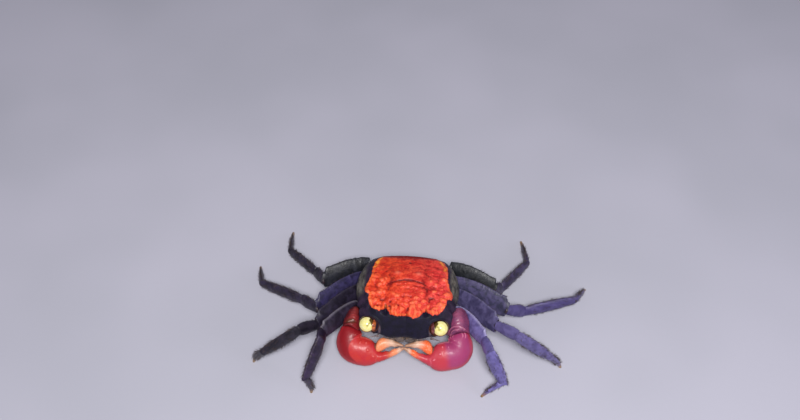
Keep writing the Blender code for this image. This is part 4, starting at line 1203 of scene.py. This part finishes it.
def leg_joints(letter, leg):
    """Hip, root, knee, wrist, ankle and toe of a leg, and the ways between them."""
    *poses, toe_heading = POSE[letter, leg]
    *lengths, toe_length = LENGTHS[leg]
    points = [np.array(HIPS[leg]), np.array(ROOTS[leg])]
    ways = [unit(points[1] - points[0])]
    for pose, length in zip(poses, lengths):
        ways.append(direction(*pose))
        points.append(points[-1] + ways[-1] * length)
    ankle = points[-1]
    drop = math.degrees(math.asin(ankle[2] / toe_length))
    toe = ankle + direction(toe_heading, -drop) * toe_length
    toe[2] = 0.0
    return [*points, toe], [*ways, unit(toe - ankle)]


def leg_limb(points, planes, k, gaps, profile, size, lean, bow=0.0):
    return limb(points[k], points[k + 1], planes[k:k + 2], gaps, profile, size, lean, bow,
                LEG_RINGS[k], LEG_SIDES)


def merus_rings(points, planes, leg, seed):
    """The ischium and merus as one piece with a seam, its ends' ways and its marks."""
    base, base_way = leg_limb(points, planes, 0, (JOINT_GAP, 0.0), ISCHIUM, ISCHIUM_SIZE,
                              MERUS_LEAN)
    long, long_way = leg_limb(points, planes, 1, (0.0, JOINT_GAP), MERUS, MERUS_SIZE[leg],
                              MERUS_LEAN, MERUS_BOW)
    crust = MERUS_CRUST._replace(tooth=MERUS_TOOTH[leg])
    rings, marks = crusted(np.concatenate((base[:-2], long)), crust, seed)
    off_seam = np.arange(len(rings))[:, None] - (len(base) - 2)
    middle = rings.mean(axis=1, keepdims=True)
    rings = middle + (rings - middle) * (1.0 - SEAM_SHARE * bell(off_seam, SEAM_HALF))[..., None]
    return rings, (base_way[0], long_way[-1]), marks


def toe_rings(points, planes, seed):
    """The dactylus with its low keels, which ends in a small flat foot on the floor."""
    rings, way = leg_limb(points, planes, 4, (JOINT_GAP, 0.0), DACTYLUS, DACTYLUS_SIZE, 0.0,
                          DACTYLUS_BOW)
    count, reach = len(rings), DACTYLUS[-1][0]
    keels = np.abs(np.cos(3.0 * oval_turns(LEG_SIDES))) * np.linspace(1.0, 0.4, count)[:, None]
    rings = raised(rings, KEEL_RISE * keels + 0.02 * lumps(rings, 0.5, seed, 2))
    forward = unit(planes[-1] * (1.0, 1.0, 0.0))
    foot = ovals(points[-1][None], np.cross(UP, forward), -forward, (FOOT_RADIUS,) * 4, LEG_SIDES,
                 2.0, 2.0)[0]
    steps = (np.arange(1, FOOT_STEPS + 1) / FOOT_STEPS)[:, None, None]
    rings = np.concatenate((rings, rings[-1] + (foot - rings[-1]) * steps))
    rings[..., 2] = np.maximum(rings[..., 2], 0.0)
    along = (np.linspace(0.0, reach, count), np.linspace(reach, 1.0, FOOT_STEPS + 1)[1:])
    return rings, way, {"along": np.concatenate(along)[:, None]}


def build_leg(letter, leg, near_shade, far_shade, toe_shade):
    """Builds a leg's four pieces, and returns the rings that its bristles stand on."""
    points, ways = leg_joints(letter, leg)
    planes = [ways[0], *(unit(a + b) for a, b in zip(ways, ways[1:])), ways[-1]]
    seed = leg * 3.0 + (10.0 if letter == "l" else 0.0)
    pieces = [("merus", near_shade, *merus_rings(points, planes, leg, seed))]
    for k, node, profile, size, lean in (
        (2, "carpus", CARPUS, CARPUS_SIZE, CARPUS_LEAN),
        (3, "propodus", PROPODUS, PROPODUS_SIZE[leg], PROPODUS_LEAN),
    ):
        rings, way = leg_limb(points, planes, k, (JOINT_GAP, JOINT_GAP), profile, size, lean)
        rings, marks = crusted(rings, FAR_CRUST, seed + k - 1)
        pieces.append((node, far_shade, rings, way, marks))
    pieces.append(("dactylus", toe_shade, *toe_rings(points, planes, seed)))
    for node, shade, rings, way, marks in pieces:
        toe = shade is toe_shade
        limb_piece(f"leg_{letter}{leg}_{node}", rings, way, marks, SIDES[letter], shade,
                   "toes" if toe else "legs", lip=not toe)
    return [rings for _, _, rings, _, _ in pieces]


# Claws.

def chela(stations, ats):
    """Rings across the claw's curve, which lies in one plane; the outer face looks forward."""
    face = unit(np.cross(CHELA_BEND - CHELA_HEEL, CHELA_TIP - CHELA_HEEL))
    face = -face if face[1] > 0 else face
    centre, along = bend(CHELA_HEEL, CHELA_BEND, CHELA_TIP, ats)
    top = np.cross(along, face)
    middle, half, outer, inner = through(stations, ats).T
    upper = half * (1.0 - PALM_DIP * bell(ats - PALM_DIP_AT, PALM_DIP_HALF))
    centre = centre + top * middle[:, None]
    return ovals(centre, face, top, (upper, half, outer, inner), CHELA_SIDES, 2.0, 2.0), along


def tooth_row(ats, start, end, count, sharp=1.0):
    """Rounded teeth from start to end: 1 at each one's tip."""
    share = (ats - start) / (end - start)
    size = 0.65 + 0.35 * np.cos(math.tau * share * count * 0.31 + 1.0)
    teeth = np.abs(np.sin(math.pi * share * count)) ** sharp
    return (band(share, 0.0, 0.06, 0.94, 1.0) * size * teeth)[:, None]


def boss_ridges(points, letter):
    """Two curved ridges round the boss at the left palm's root, on the side of the wrist."""
    away = np.linalg.norm(points - BOSS, axis=-1)
    near = ease(points[..., 1], BOSS[1] - 0.7, BOSS[1] + 0.1)
    return sum(bell(away - radius, 0.1) for radius in BOSS_RIDGES) * near * (letter == "l")


def turn_apart(turns, turn):
    return np.angle(np.exp(1j * (turns - turn)))


def build_palm(letter, shade, seed):
    """Builds the palm with its fixed finger, and returns its rings."""
    ats = np.linspace(0.0, FIXED_FINGER[-1][0], PALM_RINGS)
    rings, along = chela(PALM + FIXED_FINGER, ats)
    turns = oval_turns(CHELA_SIDES)
    v, t = np.sin(turns)[None], ats[:, None]
    teeth = tooth_row(ats, 0.79, 0.99, 9) * clamp(v) ** 12
    keel = ease(t, 0.3, 0.6) * clamp(-v) ** 30
    crest = clamp(v) ** 16 * band(t, 0.08, 0.2, 0.66, 0.74)
    arcs = boss_ridges(rings, letter)
    knobs = sum(
        bell(np.hypot((t - at) * 11.0, turn_apart(turns, math.radians(turn)) * 1.8), 0.16)
        for at, turn in TUBERCLES
    )
    grain = grains(rings, 0.42, seed) * (0.25 + 0.75 * np.maximum(crest, keel))
    height = 0.17 * teeth + 0.07 * keel + 0.1 * crest * np.abs(np.sin(math.pi * t * 42))
    height = height + RIDGE_RISE * arcs + 0.03 * grain + 0.03 * lumps(rings, 1.3, seed, 3)
    height = height + 0.1 * knobs - 0.05 * bell(t - 0.757, 0.008) * (v < 0.2)
    height = height + PALM_CHIN[letter] * bell(t - 0.68, 0.09) * clamp(-v) ** 2
    rings = raised(rings, height * ease(t, 0.0, 0.02))
    shade_end, slant, soft = PALM_SHADE_END[letter]
    line = 0.9 * arcs + 0.8 * bell(t - 0.765 - 0.02 * v, 0.004) * (v < 0.1) * ease(-v, -0.3, 0.2)
    line = line + 0.6 * bell(t - 0.475 - 0.1 * (v + 0.3), 0.006) * bell(v + 0.25, 0.15) + knobs
    # oval marks the palm's root for painted shade; crest and line mark where highlights are
    # painted.
    marks = {
        "along": t, "oval": 1.0 - ease(t + slant * v, shade_end - soft, shade_end + soft),
        "low": ease(-v, 0.35, 0.95), "line": line, "grain": grain,
        "crest": np.maximum(crest, 0.6 * keel),
    }
    limb_piece(f"claw_{letter}_palm", rings, along, marks, SIDES[letter], shade, "claw_palms")
    return rings


def build_free_finger(letter, shade, seed):
    ats = np.linspace(FREE_FINGER[0][0], FREE_FINGER[-1][0], FINGER_RINGS)
    rings, along = chela(FREE_FINGER, ats)
    v, t = np.sin(oval_turns(CHELA_SIDES))[None], ats[:, None]
    teeth = tooth_row(ats, 0.83, 0.985, 8) * clamp(-v) ** 12
    pearls = tooth_row(ats, 0.8, 0.95, 11, 0.7) * clamp(v) ** 10
    grain = grains(rings, 0.36, seed) * 0.5
    height = 0.15 * teeth + 0.1 * pearls + 0.03 * grain + 0.02 * lumps(rings, 0.8, seed, 3)
    rings = raised(rings, height * ease(t, 0.765, 0.79))
    marks = {
        "along": 0.91 + 0.42 * (t - 0.76), "oval": 0.0, "low": 0.0, "line": 0.0,
        "grain": np.maximum(grain, pearls), "crest": 0.0,
    }
    limb_piece(f"claw_{letter}_finger", rings, along, marks, SIDES[letter], shade, "claw_fingers")


def cutter_of(rings, side):
    """A plain copy of a piece, a little larger, to clear its neighbours."""
    plain = rings[::3, ::2]
    return skin("cutter", plain + grid_normals(plain) * CUTTER_GAP, side)


def build_arm(letter, shade, palm_rings, leg_rings, seed):
    """The claw's merus and carpus, cut clear of the shell, the first leg and the palm."""
    side = SIDES[letter]
    hip_way, wrist_way = unit(CLAW_ELBOW - CLAW_HIP), unit(CLAW_WRIST - CLAW_ELBOW)
    elbow = unit(hip_way + wrist_way)
    for node, start, end, planes, gaps, profile, size, neighbours in (
        ("merus", CLAW_HIP, CLAW_ELBOW, (hip_way, elbow), (JOINT_GAP, JOINT_GAP), CLAW_MERUS,
         CLAW_MERUS_SIZE, (leg_rings,)),
        ("carpus", CLAW_ELBOW, CLAW_WRIST, (elbow, wrist_way), (JOINT_GAP, 0.0), CLAW_CARPUS,
         CLAW_CARPUS_SIZE, (palm_rings, leg_rings)),
    ):
        rings, way = limb(start, end, planes, gaps, profile, size, 0.0, 0.0, ARM_RINGS, ARM_SIDES)
        rings, marks = crusted(rings, ARM_CRUST, seed)
        off = (rings - SLIT) * (0.9, 1.9, 1.0)
        slit = bell(np.linalg.norm(off, axis=-1), 1.0) * (letter == "r")
        core = bell(off[..., 1], 0.14) * bell(off[..., 0], 0.6)
        ridges = boss_ridges(rings, letter)
        rings = raised(rings, RIDGE_RISE * ridges - SLIT_DEPTH * bell(off[..., 1], 0.3) * slit)
        if node == "carpus":
            middle = rings.mean(axis=1, keepdims=True)
            fade = 1.0 - SHOULDER_FADE * ease(np.linspace(0.0, 1.0, ARM_RINGS), 0.2, 1.0)
            rings = middle + (rings - middle) * (1.0 + SHOULDER[letter] * fade)[:, None, None]
        marks.update(slit=clamp(0.72 * slit + 0.5 * core * slit), line=ridges)
        cutters = [cutter_of(neighbour, side) for neighbour in neighbours] + [shell_cutter()]
        limb_piece(f"claw_{letter}_{node}", rings, way, marks, side, shade, "claw_arms",
                   clear_of=cutters)


# Eyes.

def build_ball(letter, eye, axis, radius, shade):
    """The full ball, with its marks on the half that looks at the viewer."""
    tilt = np.linspace(0.02, math.pi - 0.02, BALL_RINGS)
    rows = np.stack((-np.cos(tilt), np.sin(tilt)), axis=-1) * radius
    rings, gaze = round_rings(eye, eye + axis, rows, BALL_TURNS), unit(GAZE)
    out = (rings - eye) / radius
    toward, inward, above = out @ gaze, -out[..., 0], -(out @ np.cross(LEFTWARD, gaze))
    seen = toward > 0
    away, angle = np.hypot(inward, above), np.arctan2(above, inward) - BITE_TURN
    spot = bell(np.hypot(inward - 0.1, (above + 0.02) * 0.7), 0.17)
    wedge = bell(angle, 0.35) * band(away, 0.02, 0.12, 0.5, 0.7)
    marks = {
        "pupil": np.maximum(spot, 0.8 * wedge) * seen,
        "ring": bell(away - 0.66, 0.05) * seen,
        "bite": ease(away, 0.42, 0.66) * ease(bell(angle, BITE_SPREAD), 0.2, 0.75) * seen,
        "rim": band(toward, 0.2, 0.34, 0.46, 0.56),
    }
    ball = skin("eyeball_" + letter, rings, SIDES[letter], marks)
    dress(ball, shade, "eyes", "eye_" + letter)


def build_stalk(letter, eye, root_at, radius, shade):
    """The stalk, and a cup round the ball's inner part with a notch toward the viewer."""
    axis, inner_radius = unit(eye - root_at), radius * CUP_WIDER
    root, lip = -np.linalg.norm(eye - root_at), -CUP_LIP * radius
    outer = ((root, 0.7), (root + 0.12, 0.82), (lip - 0.24, 0.92), (lip - 0.1, 0.98),
             (lip - 0.02, 0.99), (lip + 0.02, math.sqrt(radius ** 2 - lip ** 2) + 0.04))
    along = np.linspace(root, lip + 0.02, CUP_OUTER_RINGS)
    outer = np.column_stack((along, through(outer, along)))
    tilt = np.linspace(1.24, 0.1, CUP_INNER_RINGS)
    inside = np.stack((-np.cos(tilt), np.sin(tilt)), axis=-1) * inner_radius
    inside = inside[inside[:, 0] < lip - 0.03]
    rings = round_rings(eye, eye + axis, np.concatenate((outer, inside)), CUP_TURNS)
    count = len(outer)
    up_outside, down_inside = np.linspace(0.0, 1.0, count), np.linspace(1.0, 0.0, len(inside))
    reach = np.concatenate((up_outside, down_inside))[:, None]
    notch = bell(turn_apart(oval_turns(CUP_TURNS), NOTCH_TURN), NOTCH_SPREAD)
    rings = rings - axis * (NOTCH_DEPTH * ease(reach, 0.35, 1.0) * notch)[..., None]
    rough = 0.05 * lumps(rings[:count], 0.5, 2.0, 3)
    rings[:count] += grid_normals(rings)[:count] * rough[..., None]
    short = np.clip(inner_radius - np.linalg.norm(rings - eye, axis=-1), 0.0, None)
    rings += unit(rings - eye) * short[..., None]
    rim = np.concatenate((ease(up_outside, 0.86, 0.97), np.ones(len(inside))))[:, None]
    stalk = skin("eyestalk_shell_" + letter, rings, SIDES[letter], {"rim": rim})
    dress(stalk, shade, "eyestalks", "eyestalk_" + letter)


def build_eye(letter, shade, stalk_shade):
    inward_shift = LEFTWARD * EYE_INWARD[letter]
    eye, root_at = EYE - inward_shift, STALK_ROOT - inward_shift
    radius = EYE_RADIUS * EYE_LARGER
    build_ball(letter, eye, unit(eye - root_at), radius, shade)
    build_stalk(letter, eye, root_at, radius, stalk_shade)


# Mouth, feelers, breastplate and tail flap.

def rounded_plate(half, thick, dome, taper, count, sides):
    """Rings over the domed front of a rounded plate and back behind it, in its own axes: x and
    z across it and -y out of its front."""
    turns = oval_turns(sides)
    x, z = (np.sign(f(turns)) * np.abs(f(turns)) ** 0.62 * size
            for f, size in zip((np.cos, np.sin), half))
    x = (x + half[0]) * (1.0 - taper * (0.5 - 0.5 * z / half[1])) - half[0]
    rows = [(s, -thick / 2 - dome * (1.0 - s ** 3)) for s in np.linspace(0.03, 1.0, count)]
    rows += [(1.02, -thick * 0.3), (1.02, thick * 0.3), (0.98, thick / 2)]
    rows += [(s, thick / 2) for s in (0.8, 0.5, 0.2)]
    return np.array([np.stack((x * s, np.full_like(x, y), z * s), axis=-1) for s, y in rows])


def links(points, radii, grid, side):
    """Small rounded links of a feeler or palp, one between each two points."""
    share = np.linspace(0.0, 1.0, grid[0])
    girth = 1.0 - np.abs(2.0 * share - 1.0) ** 6 * 0.45
    made = []
    for start, end, radius in zip(points, points[1:], radii):
        rows = np.stack((share * np.linalg.norm(end - start), girth * radius), axis=-1)
        rings = round_rings(start, end, rows, grid[1], UP + 0.01)
        made.append(skin("link", rings, side, {"seam": 0.0}))
    return made


def build_jaw(letter, shade):
    """An outer mouth plate: two domed segments parted by a groove, and a small jointed palp."""
    side, lean = SIDES[letter], math.radians(JAW_TILT)
    rings = rounded_plate(JAW_SIZE[[0, 2]] / 2, JAW_SIZE[1], JAW_DOME, JAW_TAPER, *JAW_GRID)
    rings[..., 0] -= 0.12 * (1.0 - ease(rings[..., 0], -1.3, 0.5))
    x, y, z = np.moveaxis(rings, -1, 0)
    front = y < 0
    groove = bell(z - 0.12 - 0.12 * x, 0.07)
    ridge = bell((x - 0.35 * z + 0.25), 0.1) * bell(z + 0.4, 0.8)
    hollow = bell(x - 0.55, 0.25) * bell(z + 0.3, 0.6)
    fine = 0.03 * lumps(rings, 0.4, 5.0, 3) + 0.03 * grains(rings, 0.22, 1.0)
    y = y - front * (0.09 * ridge - 0.12 * groove - 0.06 * hollow + fine)
    tilted = np.stack((x, y * math.cos(lean) - z * math.sin(lean),
                       y * math.sin(lean) + z * math.cos(lean)), axis=-1)
    seam = clamp(groove) * front
    plate = skin("mouth_plate_" + letter, tilted + JAW_CENTRE, side, {"seam": seam})
    bends = [JAW_CENTRE + PALP_START + np.array(bend_at) for bend_at in PALP_BENDS]
    join_into(plate, links(bends, PALP_RADII, PALP_GRID, side))
    dress(plate, shade, "maxillipeds", "maxilliped_" + letter)


def build_feelers(letter, shade):
    """The folded antennule of three links, and the longer antenna of tapering rings."""
    side = SIDES[letter]
    start, end, radius = ANTENNULE
    bends = (start, start + (end - start) * 0.55, end)
    parts = links(bends, (radius, radius * 0.86), ANTENNULE_GRID, side)
    folded = (end + (0.02, -0.05, 0.08), start + (0.55, -0.12, 0.2))
    parts += links(folded, (radius * 0.45,), FLAGELLUM_GRID, side)
    parts[0].name = "antennule_shell_" + letter
    join_into(parts[0], parts[1:])
    dress(parts[0], shade, "feelers", "antennule_" + letter)

    start, end, radius = ANTENNA
    share = np.linspace(0.0, 1.0, ANTENNA_GRID[0])
    thick = radius + (ANTENNA_TIP - radius) * share ** 0.8
    basal = share < ANTENNA_BASE
    notches = np.where(basal, bell((share * 2.94 * 2) % 1.0 - 0.5, 0.5),
                       0.86 + 0.14 * np.abs(np.cos(math.pi * share * ANTENNA_LINKS)))
    girth = thick * (np.where(basal, 1.0, 0.62) * (0.35 + 0.65 * notches))
    rows = np.stack((share * np.linalg.norm(end - start), girth), axis=-1)
    rings = round_rings(start, end, rows, ANTENNA_GRID[1])
    piece = skin("antenna_shell_" + letter, rings, side, {"seam": (1 - notches)[:, None]})
    dress(piece, shade, "feelers", "antenna_" + letter)


def underside_height(y):
    """The shell's underside along its middle, which slopes down to the mouth."""
    front_y, front_z = LANDMARKS[0].foot[1:]
    slope = (front_z - UNDERSIDE_Z) / (CROWN_Y - front_y)
    return UNDERSIDE_Z + slope * np.clip(CROWN_Y - y, 0.0, None)


def build_thorax(shade):
    """The breastplate with its seams and the stubs of the limbs."""
    ys = np.linspace(THORAX_STATIONS[0][0], THORAX_STATIONS[-1][0], THORAX_RINGS)
    half, low = through(THORAX_STATIONS, ys).T
    high = underside_height(ys) - THORAX_GAP
    centre = np.stack((0.0 * ys, ys, (high + low) / 2), axis=-1)
    tall = (high - low) / 2
    rings = ovals(centre, LEFTWARD, UP, (tall, tall, half, half), THORAX_SIDES, 3.0, 2.4)
    x, y = rings[..., 0], rings[..., 1]
    below = clamp(-np.sin(oval_turns(THORAX_SIDES)))[None] ** 0.5
    seams = sum(bell(y - at - 0.12 * np.abs(x), 0.13) for at in STERNUM_SEAMS)
    middle = bell(x, 0.12)
    fine = 0.04 * lumps(rings, 0.7, 3.0, 3) + 0.03 * grains(rings, 0.35, 6.0)
    rings = raised(rings, below * (fine - 0.16 * clamp(seams) - 0.12 * middle))
    obj = skin("breastplate", rings, 1, {"seam": clamp(seams + middle) * below})
    for side in SIDES.values():
        for hip, root in [(HIPS[leg], ROOTS[leg]) for leg in HIPS] + [(CLAW_HIP, CLAW_ELBOW)]:
            boolean(obj, coxa(np.array(hip), np.array(root), side), "UNION")
    boolean(obj, shell_cutter())
    dress(obj, shade, "thorax", "thorax")


def coxa(hip, root, side):
    """A short stub from inside the breastplate out to the hip, cut square to the next piece."""
    inner = np.array((COXA_ROOT_X, hip[1] * 0.85, hip[2] - 0.1))
    heading, axis = unit(root - hip), unit(hip - inner)
    across = unit(np.cross(axis, UP))
    share = np.linspace(0.0, 1.0, COXA_GRID[0])
    centre = inner + (hip - heading * JOINT_GAP - inner) * share[:, None]
    seam = bell(share - COXA_SEAM[0], COXA_SEAM[1])
    girth = COXA_HALF * through(COXA_PROFILE, share)[:, 0] * (1.0 - 0.07 * seam)
    rings = ovals(centre, across, np.cross(across, axis), (girth,) * 4, COXA_GRID[1], 2.2, 2.2)
    weight = ease(share, 0.55, 1.0)
    off = (rings - centre[:, None]) @ heading / axis.dot(heading) * weight[:, None]
    rings = rings - axis * off[..., None]
    rings = raised(rings, 0.03 * lumps(rings, 0.5, 8.0, 3))
    return skin("coxa", rings, side, {"seam": seam[:, None]})


def build_pleon(shade):
    """The narrow tail flap of a male, of overlapping segments, folded forward under the body."""
    stations = np.array(PLEON_STATIONS)[:, :3]
    steps = np.linalg.norm(np.diff(stations[:, :2], axis=0), axis=1)
    places = np.concatenate(([0.0], np.cumsum(steps)))
    ends = [place_at for place_at, row in zip(places, PLEON_STATIONS) if row[3]]
    at = np.linspace(0.0, places[-1], PLEON_RINGS)
    y, z, half = through(np.column_stack((places, stations)), at).T
    centre = np.stack((0.0 * y, y, z), axis=-1)
    out = np.cross(unit(np.gradient(centre, axis=0)), LEFTWARD)
    step = sum(np.exp(-np.clip(end - at, 0.0, None) / 0.5) * (at <= end) for end in ends)
    seam = sum(bell(at - end - 0.05, 0.06) for end in ends)
    thick = PLEON_THICK / 2
    girth = half * (1.0 + 0.035 * step - 0.05 * seam)
    halves = (thick, thick + PLEON_STEP * step - 0.05 * seam, girth, girth)
    rings = ovals(centre, LEFTWARD, out, halves, PLEON_SIDES, 3.0, 3.0)
    below = clamp(-np.sin(oval_turns(PLEON_SIDES)))[None] ** 0.5
    fine = 0.03 * lumps(rings, 0.5, 9.0, 3) + 0.02 * grains(rings, 0.3, 3.0)
    piece = skin("tail_flap", raised(rings, below * fine), 1, {"seam": clamp(seam)[:, None]})
    dress(piece, shade, "pleon", "pleon")


# Bristles.

def build_bristles(letter, leg, coat, shade):
    """Draws where a leg's bristles stand on its pieces, and the way and length of each."""
    draw = random.Random(leg + (0 if letter == "l" else 10))
    roots, ways, leans, sizes, places = [], [], [], [], []
    for tuft in TUFTS:
        rings = coat[tuft.part]
        normals = grid_normals(rings)
        count, sides = rings.shape[:2]
        length = np.linalg.norm(rings[-1].mean(axis=0) - rings[0].mean(axis=0))
        for _ in range(int(length * (tuft.end - tuft.start) * tuft.dense)):
            u = draw.uniform(tuft.start, tuft.end) * (count - 1)
            angle = math.radians(90 - tuft.around + draw.gauss(0.0, tuft.spread * 0.5))
            i, j = int(u), int(angle / math.tau * sides) % sides
            ahead = unit(rings[min(i + 1, count - 1), j] - rings[max(i - 1, 0), j])
            way = normals[i, j] * draw.uniform(0.55, 0.9) + ahead * draw.uniform(0.5, 0.9)
            roots.append(rings[i, j])
            ways.append(unit(way + np.array([draw.uniform(-0.18, 0.18) for _ in range(3)])))
            leans.append(ahead)
            sizes.append(tuft.long * draw.uniform(0.6, 1.25))
            places.append(((tuft.part + i / count) / 4, j / sides))
    mesh_bristles(f"bristles_{letter}{leg}", SIDES[letter], shade,
                  *map(np.array, (roots, ways, leans, sizes, places)))


def mesh_bristles(name, side, shade, roots, ways, leans, sizes, places):
    """Slender four-sided spikes that curve a little toward the limb's tip, in one mesh."""
    across = unit(np.cross(ways, leans + UP * 0.01))
    up = np.cross(across, ways)
    corners = np.array([(1, 0), (0, 1), (-1, 0), (0, -1)])

    def centre(at):
        bent = BRISTLE_BEND * max(at, 0) ** 2
        return (roots + ways * (sizes * at)[:, None] + leans * (sizes * bent)[:, None])[:, None]

    layers = [
        centre(at) + BRISTLE_THICK * girth * (corners[:, :1] * across[:, None]
                                              + corners[:, 1:] * up[:, None])
        for at, girth in BRISTLE_SHAPE
    ]
    points = np.concatenate(layers + [centre(1.0)], axis=1)
    points[..., 2] = np.maximum(points[..., 2], 0.01)
    nxt = (1, 2, 3, 0)
    faces = [(3, 2, 1, 0)]
    faces += [(k + c, k + nxt[c], k + 4 + nxt[c], k + 4 + c) for k in (0, 4) for c in range(4)]
    faces += [(8 + c, 8 + nxt[c], 12) for c in range(4)]
    every = [tuple(BRISTLE_POINTS * i + k for k in face)
             for i in range(len(roots)) for face in faces]
    along = [max(at, 0.0) for at, _ in BRISTLE_SHAPE for _ in corners] + [1.0]
    obj = mesh_object(name, place(points.reshape(-1, 3), side), every,
                      {"along": np.tile(along, len(roots))})
    spots = np.concatenate((np.tile(corners * 0.5, (len(BRISTLE_SHAPE), 1)), [(0.0, 0.0)]))
    corner_points = np.empty(len(obj.data.loops), np.int64)
    obj.data.loops.foreach_get("vertex_index", corner_points)
    uv = places[corner_points // BRISTLE_POINTS] + spots[corner_points % BRISTLE_POINTS] * UV_PATCH
    layer = obj.data.uv_layers.new(name="OFBake")
    layer.data.foreach_set("uv", clamp(uv).astype(np.float32).ravel())
    dress(obj, shade, "legs")


# Floor, light and camera.

def build_floor():
    bpy.ops.mesh.primitive_plane_add(size=FLOOR_SIZE)
    floor = bpy.context.object
    floor.name = "floor"
    s = Shade("floor", 0.6)
    colour = s.blend(s.noise(40.0, 2.0), 0.3, 0.7, *FLOOR_COLOURS)
    floor.data.materials.append(s.finish(colour, s.noise(0.8, 2.0), 0.01))


def looking_back(way):
    """The turn of a lamp or camera that looks against a way."""
    return Vector(way).to_track_quat("Z", "Y").to_euler()


def build_lights():
    for name, (place_at, energy, size, colour) in LIGHTS.items():
        light = bpy.data.lights.new(name, "AREA")
        light.energy, light.size, light.color = energy, size, colour
        obj = linked(name, light)
        obj.location = place_at
        obj.rotation_euler = looking_back(place_at)
    world = bpy.data.worlds.new("room")
    bpy.context.scene.world = world
    world.use_nodes = True
    back = world.node_tree.nodes["Background"]
    back.inputs["Color"].default_value = (*linear(ROOM_COLOUR), 1.0)
    back.inputs["Strength"].default_value = ROOM_STRENGTH
    bpy.context.scene.view_settings.view_transform = "Standard"


def build_camera():
    back = direction(90.0 - CAMERA_ROUND, CAMERA_ABOVE)
    camera = bpy.data.cameras.new("camera")
    camera.sensor_width = SENSOR_WIDTH
    camera.lens = CAMERA_LENS
    camera.clip_start = CLIP_START
    obj = linked("camera", camera)
    obj.location = place(CAMERA_TARGET + back * CAMERA_AWAY)
    obj.rotation_euler = looking_back(back)
    bpy.context.scene.camera = obj


def build_crab():
    build_shell()
    bristle, coats = bristle_material(), {}
    for (letter, leg), colours in LEG_COLOURS.items():
        name, far = f"{letter}{leg}", FAR_COLOURS[letter, leg]
        coat = build_leg(letter, leg, limb_material("merus_" + name, *colours, HIGHLIGHT_FROM[leg]),
                         limb_material("leg_" + name, *far, *FAR_HIGHLIGHT),
                         toe_material("toe_" + name, *far[:2]))
        build_bristles(letter, leg, coat, bristle)
        coats[letter, leg] = coat
    eye = eye_material()
    mouth, feeler, belly = (belly_material(name, *BELLY_COLOURS[name]) for name in BELLY_COLOURS)
    for letter, side in SIDES.items():
        claw = claw_material("claw_" + letter, *CLAW_COLOURS[letter])
        arm = arm_material("arm_" + letter, *ARM_COLOURS[letter])
        palm_rings = build_palm(letter, claw, 3.0 + side)
        build_free_finger(letter, claw, 8.0 + side)
        build_arm(letter, arm, palm_rings, coats[letter, 1][0], 13.0 + side)
        build_eye(letter, eye, stalk_material("eyestalk_" + letter, *STALK_COLOURS[letter]))
        build_jaw(letter, mouth)
        build_feelers(letter, feeler)
    build_thorax(belly)
    build_pleon(belly)


build_camera()
build_crab()
build_floor()
build_lights()
